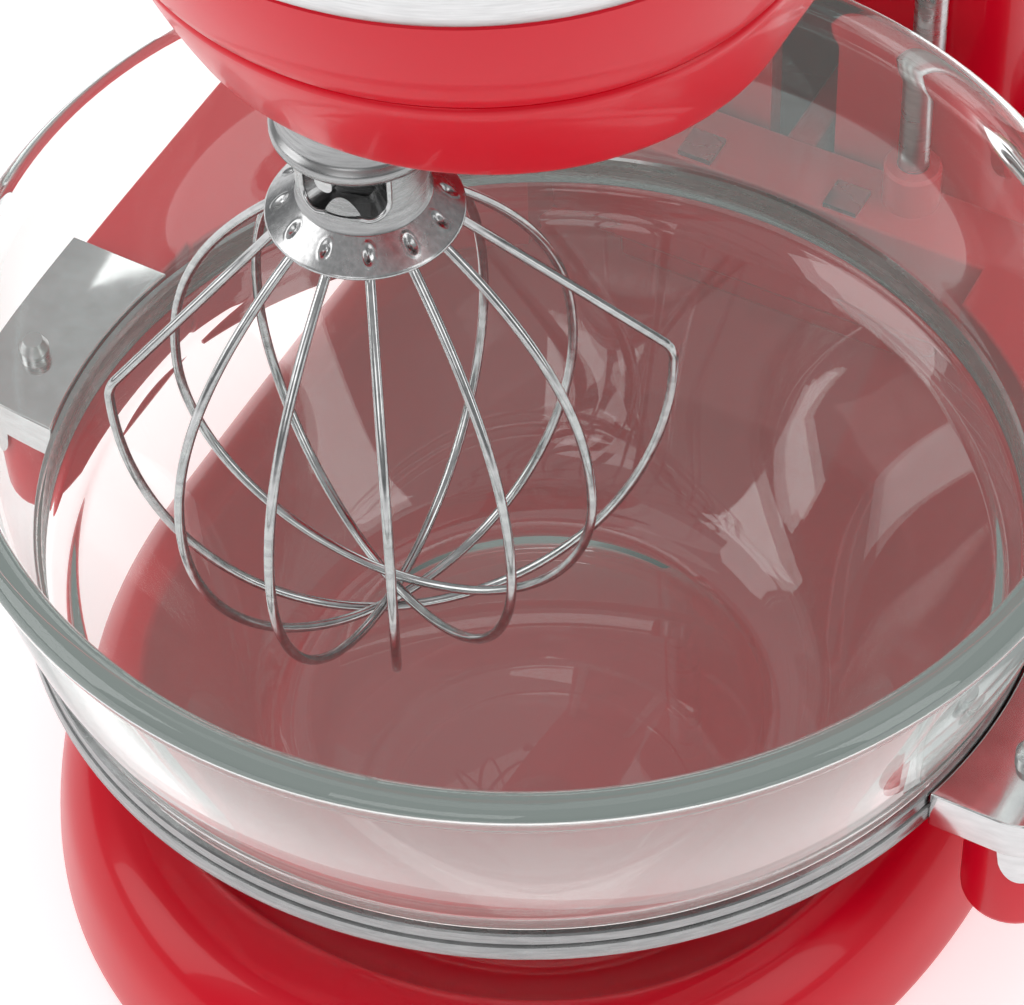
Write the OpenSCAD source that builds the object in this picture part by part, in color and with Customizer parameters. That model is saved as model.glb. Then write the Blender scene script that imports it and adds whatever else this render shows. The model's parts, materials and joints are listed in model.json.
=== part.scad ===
// Bowl-lift stand mixer with a glass bowl and a six-loop wire whip.
// Millimetres. +X is the mixer's right side, the nose points to -Y, +Z is up.
// The origin is under the middle of the mixer, on the table. The bowl is lowered.

/* [Overall] */
// Height from the table to the top of the head
mixer_h = 419; // [408:1:430]
// Length of the base, front to back
base_l = 371; // [362:1:384]
// Width of the base over its two legs
base_w = 228; // [220:1:236]
// Height of the base's crest above the table
base_h = 38; // [34:1:42]

/* [Head] */
// Height of the head from its skirt to its top
head_h = 152; // [148:1:158]
// Half the head's greatest width
head_half_w = 74.5; // [73:0.5:80]
// Height of the lower housing, from the skirt to the seam
lower_h = 29; // [28:1:31]
// How far the nose reaches in front of the bowl's axis
nose_reach = 96; // [94:1:102]
// Wall of the two cast housings
housing_t = 3.5; // [3:0.25:4]
// Height of the trim band
band_h = 20; // [16:1:22]

/* [Gears and shafts] */
// Module of the planetary gears
gear_m = 1.5; // [1.45:0.01:1.55]
// Teeth of the fixed ring gear
ring_teeth = 68; // [68:4:68]
// Teeth of the planet pinion
planet_teeth = 18; // [18:1:18]
// Module of the gears driven by the motor
drive_m = 1.4; // [1.3:0.05:1.45]
// Radius of the vertical drive shaft
drive_shaft_r = 7; // [6.5:0.25:7.5]
// Radius of the beater shaft
beater_shaft_r = 6; // [5.75:0.05:6.25]
// Direction of the beater shaft from the bowl's axis, in degrees
orbit_a = -121.6; // [-180:0.1:180]
// Radial clearance of a shaft in its bush
run_gap = 0.05; // [0.02:0.01:0.1]

/* [Whip] */
// Diameter of the whip's wires
wire_d = 2.2; // [1.8:0.1:2.4]
// Greatest radius of the five smooth loops
loop_r = 50.5; // [46:0.5:54]
// Shoulder radius of the wide loop
shoulder_r = 60.3; // [56:0.5:62]
// Radius of the collar's lower edge
collar_r = 20.7; // [20:0.1:22]
// Radius of the whip's hub
whip_hub_r = 13.8; // [13.4:0.1:14.2]

/* [Bowl and lift] */
// Outer radius of the glass rim
rim_r = 131; // [128:0.5:134]
// Outer radius of the steel carrier ring
ring_r = 118; // [116:0.5:120]
// Height of the glass bowl
bowl_h = 136; // [132:1:138]
// Wall of the glass
glass_t = 4; // [3.5:0.25:5]
// Distance from the base's front edge to the bowl's axis
bowl_setback = 125.5; // [123:0.5:128]
// Travel of the bowl lift
lift_travel = 40; // [36:1:42]
// Radius of the two guide rods
guide_r = 4; // [3.5:0.25:4.25]
// Width of the yoke's arms
arm_w = 23.5; // [22:0.5:25]

/* [Column] */
// Width of the column
col_w = 104; // [98:1:110]
// Depth of the column
col_d = 78; // [76:1:80]
// Wall of the column
col_t = 6; // [5:0.5:7]

/* [Hidden] */
$fn = 48;

red = [0.80, 0.02, 0.06];
steel = [0.75, 0.75, 0.74];
dark = [0.12, 0.12, 0.13];
bronze = [0.72, 0.52, 0.28];
n_plan = 46;       // points around a plan outline
whip_loops = 6;
eps = 0.02;        // how far a cutter passes the face it opens
hole_gap = 0.06;   // clearance of a round piece in its cut hole

// ---- heights and places of the main pieces
bowl_y = -base_l / 2 + bowl_setback;
foot_h = 4;
base_z0 = 3;
head_z0 = mixer_h - head_h;
seam_z = head_z0 + lower_h;
equator_z = head_z0 + 0.513 * head_h;
band_z = equator_z - 23;
nose_y = bowl_y - nose_reach;
yoke_t = 20;
yoke_gap = 2;
col_y0 = bowl_y + ring_r + yoke_t + 2 * yoke_gap;
col_y1 = col_y0 + col_d;
tail_y = col_y1 + 6;
rail_y = col_y0 - 8;
rail_x = 34;

// ---- planetary and whip
orbit = gear_m * (ring_teeth - planet_teeth) / 2;
beater_x = orbit * cos(orbit_a);
beater_y = bowl_y + orbit * sin(orbit_a);
ring_gear_r = gear_m * ring_teeth / 2 + 8;
disc_r = ring_gear_r - 3.6;
floor_t = 5;
disc_z = head_z0 - 2;
disc_t = 6.5;
gear_z = head_z0 + 6.5;
gear_w = 8.5;
flange_z = head_z0 - 36.5;
pocket_r = whip_hub_r + 0.9;
pocket_h = 10.5;
hub_top = flange_z - 1.5;
washer_t = 1.2;
cone_h = 6.5;
collar_z = hub_top - 22;
pin_r = 2.2;
pin_z = hub_top - 4.5;
window_a = -78.5;
window_half = 40.7;
pin_a = window_a - 18;
entry_a = window_a + 18;
push_travel = 4;
whip_a = 32.6;

// ---- bowl, in heights above the table
bowl_z0 = 14;
foot_ring_r = 58;
rim_z = bowl_z0 + bowl_h;
ring_t = 2;
ring_h = 9;
ring_z = rim_z - 69;
floor_z = bowl_z0 + 5;
lift_off = 12;
whip_bottom = floor_z + lift_travel + lift_off + 8;
arm_x0 = ring_r;
arm_top = ring_z + ring_h - 2;
arm_h = 38;
arm_z0 = arm_top - arm_h;
skirt_t = 1.5;
arm_gap = 0.5;
arm_x1 = arm_x0 + arm_w;
arm_cx = arm_x0 + arm_w / 2;
tip_y = bowl_y - 18.25;
locate_y = bowl_y - 14;

// ---- power take-off and motor
hub_z = head_z0 + 95;
hub_shaft_r = 5;
hub_bore_r = 15;
crown_teeth = 40;
bevel_teeth = 14;
bevel_m = 1.25;
crown_r = bevel_m * crown_teeth / 2;
bevel_r = bevel_m * bevel_teeth / 2;
bevel_scale = 0.74;
hub_gear_teeth = 42;
pinion_teeth = 12;
motor_z = hub_z - drive_m * (hub_gear_teeth + pinion_teeth) / 2;
hub_gear_y = bowl_y + crown_r + 7.5;
hub_gear_w = 9;
motor_y = bowl_y + 76;
stator_l = 60;
stator_r = 38;
shaft_r = 4;
rear_cut_y = tail_y - 42;

// ---- lift lever
crank_r = lift_travel / (2 * sin(45));
crank_y = col_y0 + 23;
crank_z = lift_slot_z0() + lift_travel / 2;
crank_pin_r = 3;
slot_gap = 1.4;
lever_r = 6;
function lift_slot_z0() = arm_z0 + 25;

// ==== shared shapes ====

function signed_pow(v, p) = sign(v) * pow(abs(v), p);

// Plan outline at height z: a front half-oval, straight sides and a rear half-oval.
function plan(w, front, fc, rc, rear, ef, er, z) = [for (j = [0:n_plan - 1])
    let (a = 360 * (j + 0.5) / n_plan, back = sin(a) > 0, e = back ? er : ef)
    [w * signed_pow(cos(a), 2 / e),
     back ? rc + (rear - rc) * pow(sin(a), 2 / e) : fc + (front - fc) * pow(-sin(a), 2 / e),
     z]];

// Closed solid through equal rings. The first and last rings are caps, or are joined.
module skin(rings, loop = false) {
    n = len(rings[0]);
    m = len(rings);
    last = loop ? m - 1 : m - 2;
    sides = [for (i = [0:last], j = [0:n - 1])
        let (a = i * n + j, b = i * n + (j + 1) % n,
             c = ((i + 1) % m) * n + (j + 1) % n, d = ((i + 1) % m) * n + j)
        each [[a, d, c], [a, c, b]]];
    caps = loop ? [] : [[for (j = [0:n - 1]) j], [for (j = [n - 1:-1:0]) (m - 1) * n + j]];
    polyhedron(points = [for (r = rings) each r], faces = concat(sides, caps), convexity = 6);
}

// Outline of a spur gear: straight-flanked teeth with a slim tip.
function gear_pts(m, teeth, add = 1, ded = 1.2, slim = 0.44) = let (p = 360 / teeth)
    [for (i = [0:teeth - 1], k = [0:3])
        let (f = [-0.5 - slim / 2 + 0.14, -slim / 4, slim / 4, 0.5 + slim / 2 - 0.14][k],
             low = k == 0 || k == 3,
             r = m * teeth / 2 + (low ? -ded : add) * m,
             a = (i + (low ? sign(f) * slim * 0.62 : f)) * p)
        [r * cos(a), r * sin(a)]];

module spur(m, teeth, w, bore) {
    linear_extrude(w) difference() {
        polygon(gear_pts(m, teeth));
        circle(r = bore);
    }
}

module tube(r1, r0, h) {
    difference() {
        cylinder(r = r1, h = h);
        translate([0, 0, -1]) cylinder(r = r0, h = h + 2);
    }
}

// Bar along +Y from y0 to y1 at height z
module y_rod(r, y0, y1, z, x = 0) {
    translate([x, y0, z]) rotate([-90, 0, 0]) cylinder(r = r, h = y1 - y0);
}

module x_rod(r, x0, x1, y, z) {
    translate([x0, y, z]) rotate([0, 90, 0]) cylinder(r = r, h = x1 - x0);
}

module screw(r, head_r, head_h, l) {
    cylinder(r = r, h = l);
    translate([0, 0, -head_h]) cylinder(r = head_r, h = head_h);
}

module mirror_x() {
    children();
    mirror([1, 0, 0]) children();
}

// ==== base and column ====

base_yc = -base_l / 2 + 137;
function base_ring(z, i) = plan(base_w / 2 - i, -base_l / 2 + i, base_yc, base_yc,
    base_l / 2 - i, 2.1, 4, z);
function base_rings(i) = [for (s = [[0, 1.5], [2.5, 0], [12, 0.8], [22, 3], [29, 7], [33.5, 12], [35, 17]])
    base_ring(base_z0 + s[0] / 35 * (base_h - base_z0 - i), s[1] + i)];
dish_w = foot_ring_r + 8;
dish_rear = col_y0 - 28;
function dish_ring(z, i) = plan(dish_w + i, bowl_y - dish_w - 6 - i, bowl_y - 10,
    dish_rear - 60, dish_rear + i, 2.1, 2.6, z);
function dish_rings(i) = [for (s = [[0, 0], [5, 6], [11, 13], [19, 20], [base_h - base_z0 - 5, 26]])
    dish_ring(base_z0 + 6 - i + s[0], s[1] + i)];
foot_spots = [for (x = [-1, 1]) each [[x * (base_w / 2 - 29), -base_l / 2 + 92],
    [x * (base_w / 2 - 40), base_l / 2 - 34]]];
bolt_spots = [for (x = [-40, 40], y = [col_y0 + 14, col_y1 - 14]) [x, y]];
foot_r = 11;

module base() {
    color(red) difference() {
        skin(base_rings(0));
        skin(concat(dish_rings(0), [dish_ring(base_h + 5, 27)]));
        difference() {
            translate([0, 0, -4]) skin(concat([base_ring(-3, 6)], base_rings(5)));
            skin(concat([dish_ring(-9, 5)], dish_rings(5), [dish_ring(base_h + 5, 32)]));
            for (p = foot_spots) translate([p[0], p[1], -5]) cylinder(r = foot_r + 2.5, h = base_h);
            for (p = bolt_spots) translate([p[0], p[1], -5]) cylinder(r = 9, h = base_h + 20);
        }
        for (p = foot_spots) translate([p[0], p[1], -1])
            cylinder(r = foot_r + hole_gap, h = 1 + base_z0 + foot_h);
        for (p = bolt_spots) translate([p[0], p[1], 0]) {
            cylinder(r = 3 + hole_gap, h = base_h + 5);
            translate([0, 0, -1]) cylinder(r = 6.5, h = base_z0 + 9);
        }
    }
}

module rubber_feet() {
    color(dark) for (p = foot_spots) translate([p[0], p[1], 0]) {
        cylinder(r = foot_r - 2, h = base_z0 + foot_h);
        translate([0, 0, base_z0]) cylinder(r = foot_r, h = foot_h);
    }
}

function col_ring(z, grow, i) = plan(col_w / 2 + grow - i, col_y0 + i, col_y0 + col_d * 0.5,
    col_y0 + col_d * 0.5, col_y1 - i, 5, 3.4, z);
col_flare = [[0, 11], [6, 8], [16, 4], [34, 1], [70, 0]];
module column() {
    h = head_z0 - base_h;
    outer = concat([for (s = col_flare) col_ring(base_h + s[0], s[1], 0)],
        [for (s = [[40, 0], [18, 2], [6, 5], [0, 8]]) col_ring(base_h + h - s[0], s[1], 0)]);
    inner = [for (k = [len(outer) - 1:-1:0])
        let (z = outer[k][0][2]) col_ring(z, k == 0 ? 5 : 0, col_t)];
    color(red) difference() {
        union() {
            skin(concat(outer, inner), loop = true);
            for (z = [base_h, base_h + rod_l - 9]) translate([-rail_x - 10, rail_y - 8, z])
                cube([2 * rail_x + 20, col_y0 - rail_y + 12, 9]);
            x_rod(lever_r + 8, col_w / 2 - 14, col_w / 2 + 2, crank_y, crank_z);
            for (p = bolt_spots) translate([p[0], p[1], base_h]) cylinder(r = 8, h = 14);
        }
        mirror_x() translate([rail_x, rail_y, base_h - 1]) cylinder(r = guide_r, h = rod_l + 5);
        translate([-9, col_y0 - 30, arm_z0 + 8]) cube([18, 44, lift_travel + 44]);
        x_rod(lever_r + 2.5, col_w / 2 - 20, col_w / 2 + 10, crank_y, crank_z);
        for (p = bolt_spots) translate([p[0], p[1], base_h - 1]) cylinder(r = 3, h = 12);
    }
}

module column_bolts() {
    color(steel) for (p = bolt_spots)
        translate([p[0], p[1], base_z0 + 8]) screw(3, 6, 4, base_h + 2 - base_z0);
}

rod_l = rim_z + lift_travel + lift_off + 13 - base_h;
module guide_rods() {
    color(steel) mirror_x() translate([rail_x, rail_y, base_h]) cylinder(r = guide_r, h = rod_l);
}

module lever_bush() {
    color(bronze) difference() {
        x_rod(lever_r + 2.5, col_w / 2 - 14, col_w / 2 + 3, crank_y, crank_z);
        x_rod(lever_r + run_gap, col_w / 2 - 16, col_w / 2 + 6, crank_y, crank_z);
    }
}

// ==== head ====

dome_e = 2.3;
function dome(s) = pow(max(0, 1 - pow(s, dome_e)), 1 / dome_e);
function head_ring(z, i) = let (
        low = z < equator_z,
        t = low ? pow((equator_z - z) / (equator_z - head_z0), 1.92) : 0,
        s = low ? 1 : dome(min(0.998, (z - equator_z) / (mixer_h - i - equator_z))),
        w = (head_half_w - i) * s - 12.5 * t,
        front = nose_y + i + 22 * t + nose_reach * (1 - s),
        rear = tail_y - i - 4 * t - 110 * (1 - s))
    plan(w, front, front + 0.95 * w, rear - (1.35 - 0.6 * t) * w, rear, 2, 2.4 + 1.6 * t, z);
groove = 1.4;
band_in = 1.2;
band_mid = band_z + band_h / 2;
function upper_zs(i) = [for (k = [0:9]) equator_z + (mixer_h - i - equator_z) * sin(7 + k * 9.2)];

module head_lower_housing() {
    outer = concat([head_ring(head_z0, 2), head_ring(head_z0 + 1.5, 0.4)],
        [for (z = [4:(lower_h - 5) / 4:lower_h - 1]) head_ring(head_z0 + z, 0)],
        [head_ring(seam_z - 0.9, 0.3), head_ring(seam_z, groove)]);
    inner = [for (k = [3:-1:0]) head_ring(head_z0 + floor_t + k * (lower_h - floor_t) / 3, housing_t)];
    color(red) difference() {
        union() {
            skin(concat(outer, inner));
            for (p = seam_screws) translate([p[0], p[1], head_z0 + 1])
                cylinder(r = boss_r, h = case_z - head_z0 - 1);
            for (y = [motor_y + 8, motor_y + stator_l - 12]) translate([-26, y, head_z0 + 1])
                cube([52, 4, 27]);
            translate([speed_pivot[0], speed_pivot[1], head_z0 + 1])
                cylinder(r = speed_pin_r, h = speed_z + 8 - head_z0);
        }
        y_rod(stator_r, motor_y, motor_y + stator_l, motor_z);
        translate([0, bowl_y, head_z0 - 1]) cylinder(r = disc_r + 0.6, h = floor_t + 2);
        for (p = seam_screws) translate([p[0], p[1], head_z0 - 1]) {
            cylinder(r = screw_r, h = lower_h + 10);
            cylinder(r = 3.4, h = 4);
        }
        translate([-30, col_y0 + 14, head_z0 - 1]) cube([60, 40, floor_t + 2]);
    }
}

// The whole upper shell as one path: down its inside and up its outside
module upper_shell() {
    body = concat([head_ring(seam_z, groove), head_ring(seam_z + 0.9, 0.3), head_ring(seam_z + 9, 0),
        head_ring(band_z - eps, 0), head_ring(band_z, band_in), head_ring(band_mid, band_in),
        head_ring(band_z + band_h, band_in), head_ring(band_z + band_h + eps, 0)],
        [for (z = upper_zs(0)) if (z > band_z + band_h + 1) head_ring(z, 0)],
        [head_ring(mixer_h, 0)]);
    hollow = [for (k = [9:-1:0]) head_ring(upper_zs(housing_t)[k], housing_t)];
    skin(concat([head_ring(mixer_h - housing_t, housing_t)], hollow,
        [head_ring(equator_z - 10, housing_t), head_ring(seam_z, housing_t)], body));
}

module head_upper_housing() {
    color(red) difference() {
        union() {
            upper_shell();
            for (p = seam_screws) translate([p[0], p[1], case_z + case_t])
                cylinder(r = boss_r, h = 16);
        }
        translate([-150, rear_cut_y, seam_z - 5]) cube([300, 120, head_h]);
        y_rod(22 + hole_gap, nose_y - 20, nose_y + 40, hub_z);
        y_rod(25 + hole_gap, nose_y - 20, nose_y + 3, hub_z);
        for (p = seam_screws) translate([p[0], p[1], case_z]) cylinder(r = screw_r + hole_gap, h = 18);
        mirror_x() x_rod(8, head_half_w - 16, head_half_w + 10, brush_y, motor_z);
        speed_slot();
        x_rod(3.1, 20, head_half_w + 10, thumb_y, hub_z);
    }
}

module rear_end_cover() {
    color(red) difference() {
        upper_shell();
        translate([-150, rear_cut_y - 400, seam_z - 5]) cube([300, 400, head_h]);
        for (x = [-24:8:24]) translate([x - 1.6, tail_y - 20, seam_z + 12]) cube([3.2, 40, 10]);
        y_rod(6.5 + hole_gap, tail_y - 30, tail_y + 10, seam_z + 13, 34);
        y_rod(2.6 + hole_gap, tail_y - 30, tail_y + 10, hub_z + 8);
        y_rod(5.1, rear_screw_y, tail_y + 10, hub_z + 8);
    }
}

// Satin strip let into a shallow channel all round the head
module trim_band() {
    zs = [band_z, band_mid, band_z + band_h];
    outer = concat([head_ring(band_z, 0.6), head_ring(band_z + 0.6, -0.3)],
        [head_ring(band_mid, -0.3), head_ring(band_z + band_h - 0.6, -0.3),
            head_ring(band_z + band_h, 0.6)]);
    inner = [for (k = [2:-1:0]) head_ring(zs[k], band_in - hole_gap)];
    color(steel) difference() {
        skin(concat(outer, inner), loop = true);
        speed_slot();
        y_rod(25 + hole_gap, nose_y - 20, nose_y + 20, hub_z);
        mirror_x() x_rod(8, head_half_w - 16, head_half_w + 10, brush_y, motor_z);
    }
}

seam_screws = [[-37, bowl_y - 54], [37, bowl_y - 54], [-50, col_y0 + 2], [50, col_y0 + 2]];
screw_r = 1.8;
boss_r = 4.2;
module housing_screws() {
    color(steel) {
        for (p = seam_screws) translate([p[0], p[1], head_z0 + 3]) screw(screw_r, 3.2, 2.6, lower_h + 6);
        translate([0, rear_screw_y, hub_z + 8]) rotate([90, 0, 0]) screw(2.6, 5, 2, 16);
    }
}
rear_screw_y = tail_y - 6;

// ---- attachment hub on the nose
hub_y0 = nose_y - 5;
hub_step_y = nose_y + 12;
thumb_y = nose_y + 6;
module attachment_hub() {
    color(steel) difference() {
        union() {
            y_rod(25, hub_y0, nose_y + 3, hub_z);
            y_rod(22, nose_y + 2, nose_y + 34, hub_z);
            mirror_x() translate([6.2, hub_y0, hub_z + 20]) cube([3.6, 6, 12.8]);
            mirror_x() translate([6.2, hub_y0 - 6.4, hub_z + 25.2]) cube([3.6, 9, 7.6]);
        }
        x_rod(1.55, -12, 12, hub_y0 - 3.4, hub_z + 29.5);
        y_rod(hub_bore_r, hub_y0 - 1, hub_step_y, hub_z);
        y_rod(10.5, hub_y0, nose_y + 28, hub_z);
        y_rod(hub_shaft_r + 4, nose_y + 20, nose_y + 40, hub_z);
        x_rod(3.1, 0, 60, thumb_y, hub_z);
    }
}

module hub_bushes() {
    color(bronze) {
        translate([0, nose_y + 28, hub_z]) rotate([-90, 0, 0]) tube(hub_shaft_r + 4, hub_shaft_r + run_gap, 6);
        translate([0, case_wall_y, hub_z]) rotate([-90, 0, 0]) tube(hub_shaft_r + 4, hub_shaft_r + run_gap, 6);
    }
}

module hub_cap() {
    cap_y = hub_y0 - 0.4;
    color(steel) difference() {
        union() {
            y_rod(24, cap_y - 5, cap_y, hub_z);
            translate([-6, cap_y - 5, hub_z + 20]) cube([12, 5, 9]);
            x_rod(3, -6, 6, cap_y - 3, hub_z + 29.5);
            x_rod(1.5, -9.8, 9.8, cap_y - 3, hub_z + 29.5);
        }
        y_rod(20, cap_y - 2, cap_y + 1, hub_z);
    }
}

module hub_thumbscrew() {
    x0 = 0.65 * head_half_w;
    color(dark) {
        x_rod(3, hub_bore_r + 0.3, x0 + 2, thumb_y, hub_z);
        x_rod(10, x0, x0 + 9, thumb_y, hub_z);
        for (a = [0:60:300]) translate([x0 + 1, thumb_y, hub_z]) rotate([a + 7, 0, 0])
            translate([0, 9.3, 0]) rotate([0, 90, 0]) cylinder(r = 2.2, h = 7);
    }
}

// ---- gear train
module ring_gear() {
    color(steel) translate([0, bowl_y, gear_z - 1.5]) difference() {
        cylinder(r = ring_gear_r, h = gear_w + 3);
        translate([0, 0, -1]) linear_extrude(gear_w + 5) rotate(orbit_a)
            polygon(gear_pts(gear_m, ring_teeth, add = 1.3, ded = 0.9, slim = 0.5));
    }
}

case_z = seam_z - 8;
case_t = 6;
case_wall_y = motor_y - 28;
module gear_case() {
    color([0.62, 0.62, 0.6]) difference() {
        union() {
            translate([0, bowl_y, case_z]) cylinder(r = 50, h = case_t);
            translate([-40, bowl_y, case_z]) cube([80, case_wall_y + 6 - bowl_y, case_t]);
            translate([0, bowl_y, case_z]) cylinder(r = 17, h = 34);
            translate([-12, case_wall_y, case_z]) cube([24, 6, hub_z + 10 - case_z]);
            for (p = seam_screws) translate([p[0], p[1], case_z]) cylinder(r = boss_r, h = case_t);
            mirror_x() translate([27, bowl_y - 54, case_z]) cube([10, 30, case_t]);
            mirror_x() translate([34, bowl_y, case_z]) cube([7, col_y0 + 2 - bowl_y, case_t]);
            mirror_x() translate([34, col_y0 - 2, case_z]) cube([16, 7, case_t]);
        }
        for (p = seam_screws) translate([p[0], p[1], case_z - 1]) cylinder(r = screw_r, h = case_t + 2);
        y_rod(stator_r + 1, motor_y - 10, motor_y + stator_l + 5, motor_z);
        translate([0, bowl_y, case_z - 1]) cylinder(r = 13, h = 40);
        y_rod(hub_shaft_r + 4, case_wall_y - 2, case_wall_y + 8, hub_z);
        y_rod(shaft_r + 1.5, case_wall_y - 2, case_wall_y + 8, motor_z);
    }
}

module ball_bearings() {
    color(steel) {
        for (z = [case_z, case_z + 26]) translate([0, bowl_y, z]) tube(13, drive_shaft_r + run_gap, 8);
        for (y = [motor_y - 21, motor_y + stator_l + 36]) translate([0, y, motor_z])
            rotate([-90, 0, 0]) tube(9, shaft_r + run_gap, 5);
    }
}

module drive_shaft() {
    color(steel) translate([0, bowl_y, disc_z + 1]) {
        cylinder(r = drive_shaft_r, h = crown_z - disc_z - 1);
    }
}

crown_z = hub_z - bevel_r;
// Straight bevel gear: its teeth taper towards the point where the shafts' axes meet.
module bevel(n, m, reach, add, ded) {
    linear_extrude(height = reach * (1 - bevel_scale), scale = bevel_scale)
        polygon(gear_pts(m, n, add, ded, 0.40));
}

module bevel_gear() {
    color(steel) translate([0, bowl_y, crown_z]) {
        rotate(90 + 180 / crown_teeth) bevel(crown_teeth, bevel_m, bevel_r, 2.2, 3);
        translate([0, 0, -7]) difference() {
            cylinder(r = 12.5, h = 7 + eps);
            translate([0, 0, -1]) cylinder(r = drive_shaft_r, h = 8);
        }
    }
}

module hub_bevel_pinion() {
    color(steel) translate([0, bowl_y + crown_r, hub_z]) rotate([90, 0, 0]) difference() {
        rotate(-90) bevel(bevel_teeth, bevel_m, crown_r, 0.75, 1.2);
        translate([0, 0, -1]) cylinder(r = hub_shaft_r, h = 12);
    }
}

module hub_drive_shaft() {
    y0 = hub_step_y + 0.5;
    color(steel) difference() {
        union() {
            y_rod(hub_shaft_r, nose_y + 26, case_wall_y + 8, hub_z);
            y_rod(9, y0, nose_y + 27, hub_z);
        }
        translate([-4, y0 - 1, hub_z - 4]) cube([8, 12, 8]);
    }
}

module hub_drive_gear() {
    color(steel) translate([0, hub_gear_y + hub_gear_w, hub_z]) rotate([90, 0, 0])
        rotate(-90) spur(drive_m, hub_gear_teeth, hub_gear_w, hub_shaft_r);
}

// ---- motor
brush_y = motor_y + stator_l + 14;
module motor_pinion() {
    color(steel) translate([0, hub_gear_y + hub_gear_w + 0.5, motor_z]) rotate([90, 0, 0])
        rotate(90 + 180 / pinion_teeth) spur(drive_m, pinion_teeth, hub_gear_w + 1, shaft_r);
}

module motor_armature() {
    color([0.55, 0.36, 0.22]) {
        y_rod(shaft_r, hub_gear_y - 3, motor_y + stator_l + 42, motor_z);
        y_rod(20, motor_y, motor_y + stator_l, motor_z);
        y_rod(12, brush_y - 8, brush_y + 8, motor_z);
    }
}

module cooling_fan() {
    color(dark) translate([0, motor_y - 6, motor_z]) rotate([90, 0, 0]) difference() {
        union() {
            cylinder(r = 9, h = 6);
            translate([0, 0, 4.4]) cylinder(r = 30, h = 1.6);
            for (a = [0:40:320]) rotate(a) translate([8, -0.8, 0]) cube([21, 1.6, 5]);
        }
        translate([0, 0, -1]) cylinder(r = shaft_r, h = 12);
    }
}

module motor_stator() {
    color([0.35, 0.35, 0.38]) translate([0, motor_y, motor_z]) rotate([-90, 0, 0]) {
        tube(stator_r, 20.6, stator_l);
        mirror_x() translate([22, -9, -5]) cube([12, 18, 5]);
        mirror_x() translate([22, -9, stator_l]) cube([12, 18, 4]);
    }
}

module motor_end_brackets() {
    color([0.62, 0.62, 0.6]) {
        difference() {
            union() {
                translate([-stator_r, motor_y - 20, motor_z - 11]) cube([2 * stator_r, 3, 22]);
                mirror_x() translate([stator_r - 3.5, motor_y - 18, motor_z - 11]) cube([3.5, 18, 22]);
            }
            y_rod(9, motor_y - 22, motor_y - 12, motor_z);
        }
        difference() {
            union() {
                translate([-stator_r, brush_y + 20, motor_z - 11]) cube([2 * stator_r, 4, 22]);
                y_rod(12, brush_y + 20, brush_y + 29, motor_z);
                mirror_x() translate([stator_r - 3.5, motor_y + stator_l, motor_z - 11])
                    cube([3.5, 36, 22]);
            }
            y_rod(9, brush_y + 22, brush_y + 40, motor_z);
            y_rod(shaft_r + 1, brush_y + 10, brush_y + 40, motor_z);
            mirror_x() x_rod(6, stator_r - 6, stator_r + 5, brush_y, motor_z);
        }
    }
}

module carbon_brushes() {
    color(dark) mirror_x() x_rod(5, 12.3, brush_cap_x0, brush_y, motor_z);
}
brush_cap_x0 = 64;
module brush_caps() {
    color(dark) mirror_x() difference() {
        x_rod(7.8, brush_cap_x0, head_half_w - 1, brush_y, motor_z);
        translate([head_half_w - 2.2, brush_y - 6, motor_z - 0.8]) cube([4, 12, 1.6]);
    }
}

module control_board() {
    z = hub_z + 14;
    color([0.1, 0.35, 0.2]) {
        translate([-28, motor_y + 6, z]) cube([56, 62, 1.8]);
        translate([-20, motor_y + 14, z + 1.8]) cube([14, 10, 10]);
        translate([4, motor_y + 30, z + 1.8]) cube([16, 16, 8]);
        mirror_x() translate([24, motor_y + 10, motor_z + 29.6]) cube([3, 8, z - motor_z - 29.6]);
    }
}

module cord_gland() {
    color(dark) difference() {
        union() {
            y_rod(6.5, tail_y - 20, tail_y - 5, seam_z + 13, 34);
            y_rod(8.5, tail_y - 25, tail_y - 19.5, seam_z + 13, 34);
        }
        y_rod(3.6, tail_y - 30, tail_y + 5, seam_z + 13, 34);
    }
}

// ---- speed lever
speed_pivot = [24.5 - head_half_w, col_y0 - 46];
speed_pin_r = 2.45;
speed_z = band_z + band_h / 2;
speed_a0 = 160;
speed_a1 = 200;
speed_len = 36;
module speed_slot() {
    translate([speed_pivot[0], speed_pivot[1], speed_z - 3.5]) rotate(speed_a0 - 11)
        rotate_extrude(angle = speed_a1 - speed_a0 + 22) translate([16, 0]) square([24, 7]);
}
module speed_lever() {
    color(steel) translate([speed_pivot[0], speed_pivot[1], speed_z]) rotate(speed_a0) difference() {
        union() {
            translate([0, 0, -6]) cylinder(r = 7, h = 12);
            translate([0, -3, -2]) cube([speed_len, 6, 4]);
        }
        translate([0, 0, -8]) cylinder(r = speed_pin_r + run_gap, h = 16);
    }
}
module speed_knob() {
    color(dark) translate([speed_pivot[0], speed_pivot[1], speed_z]) rotate(speed_a0) difference() {
        translate([speed_len + 3, 0, 0]) sphere(r = 8.5);
        translate([0, -3, -2]) cube([speed_len, 6, 4]);
    }
}

// ==== planetary and beater shaft ====

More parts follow.
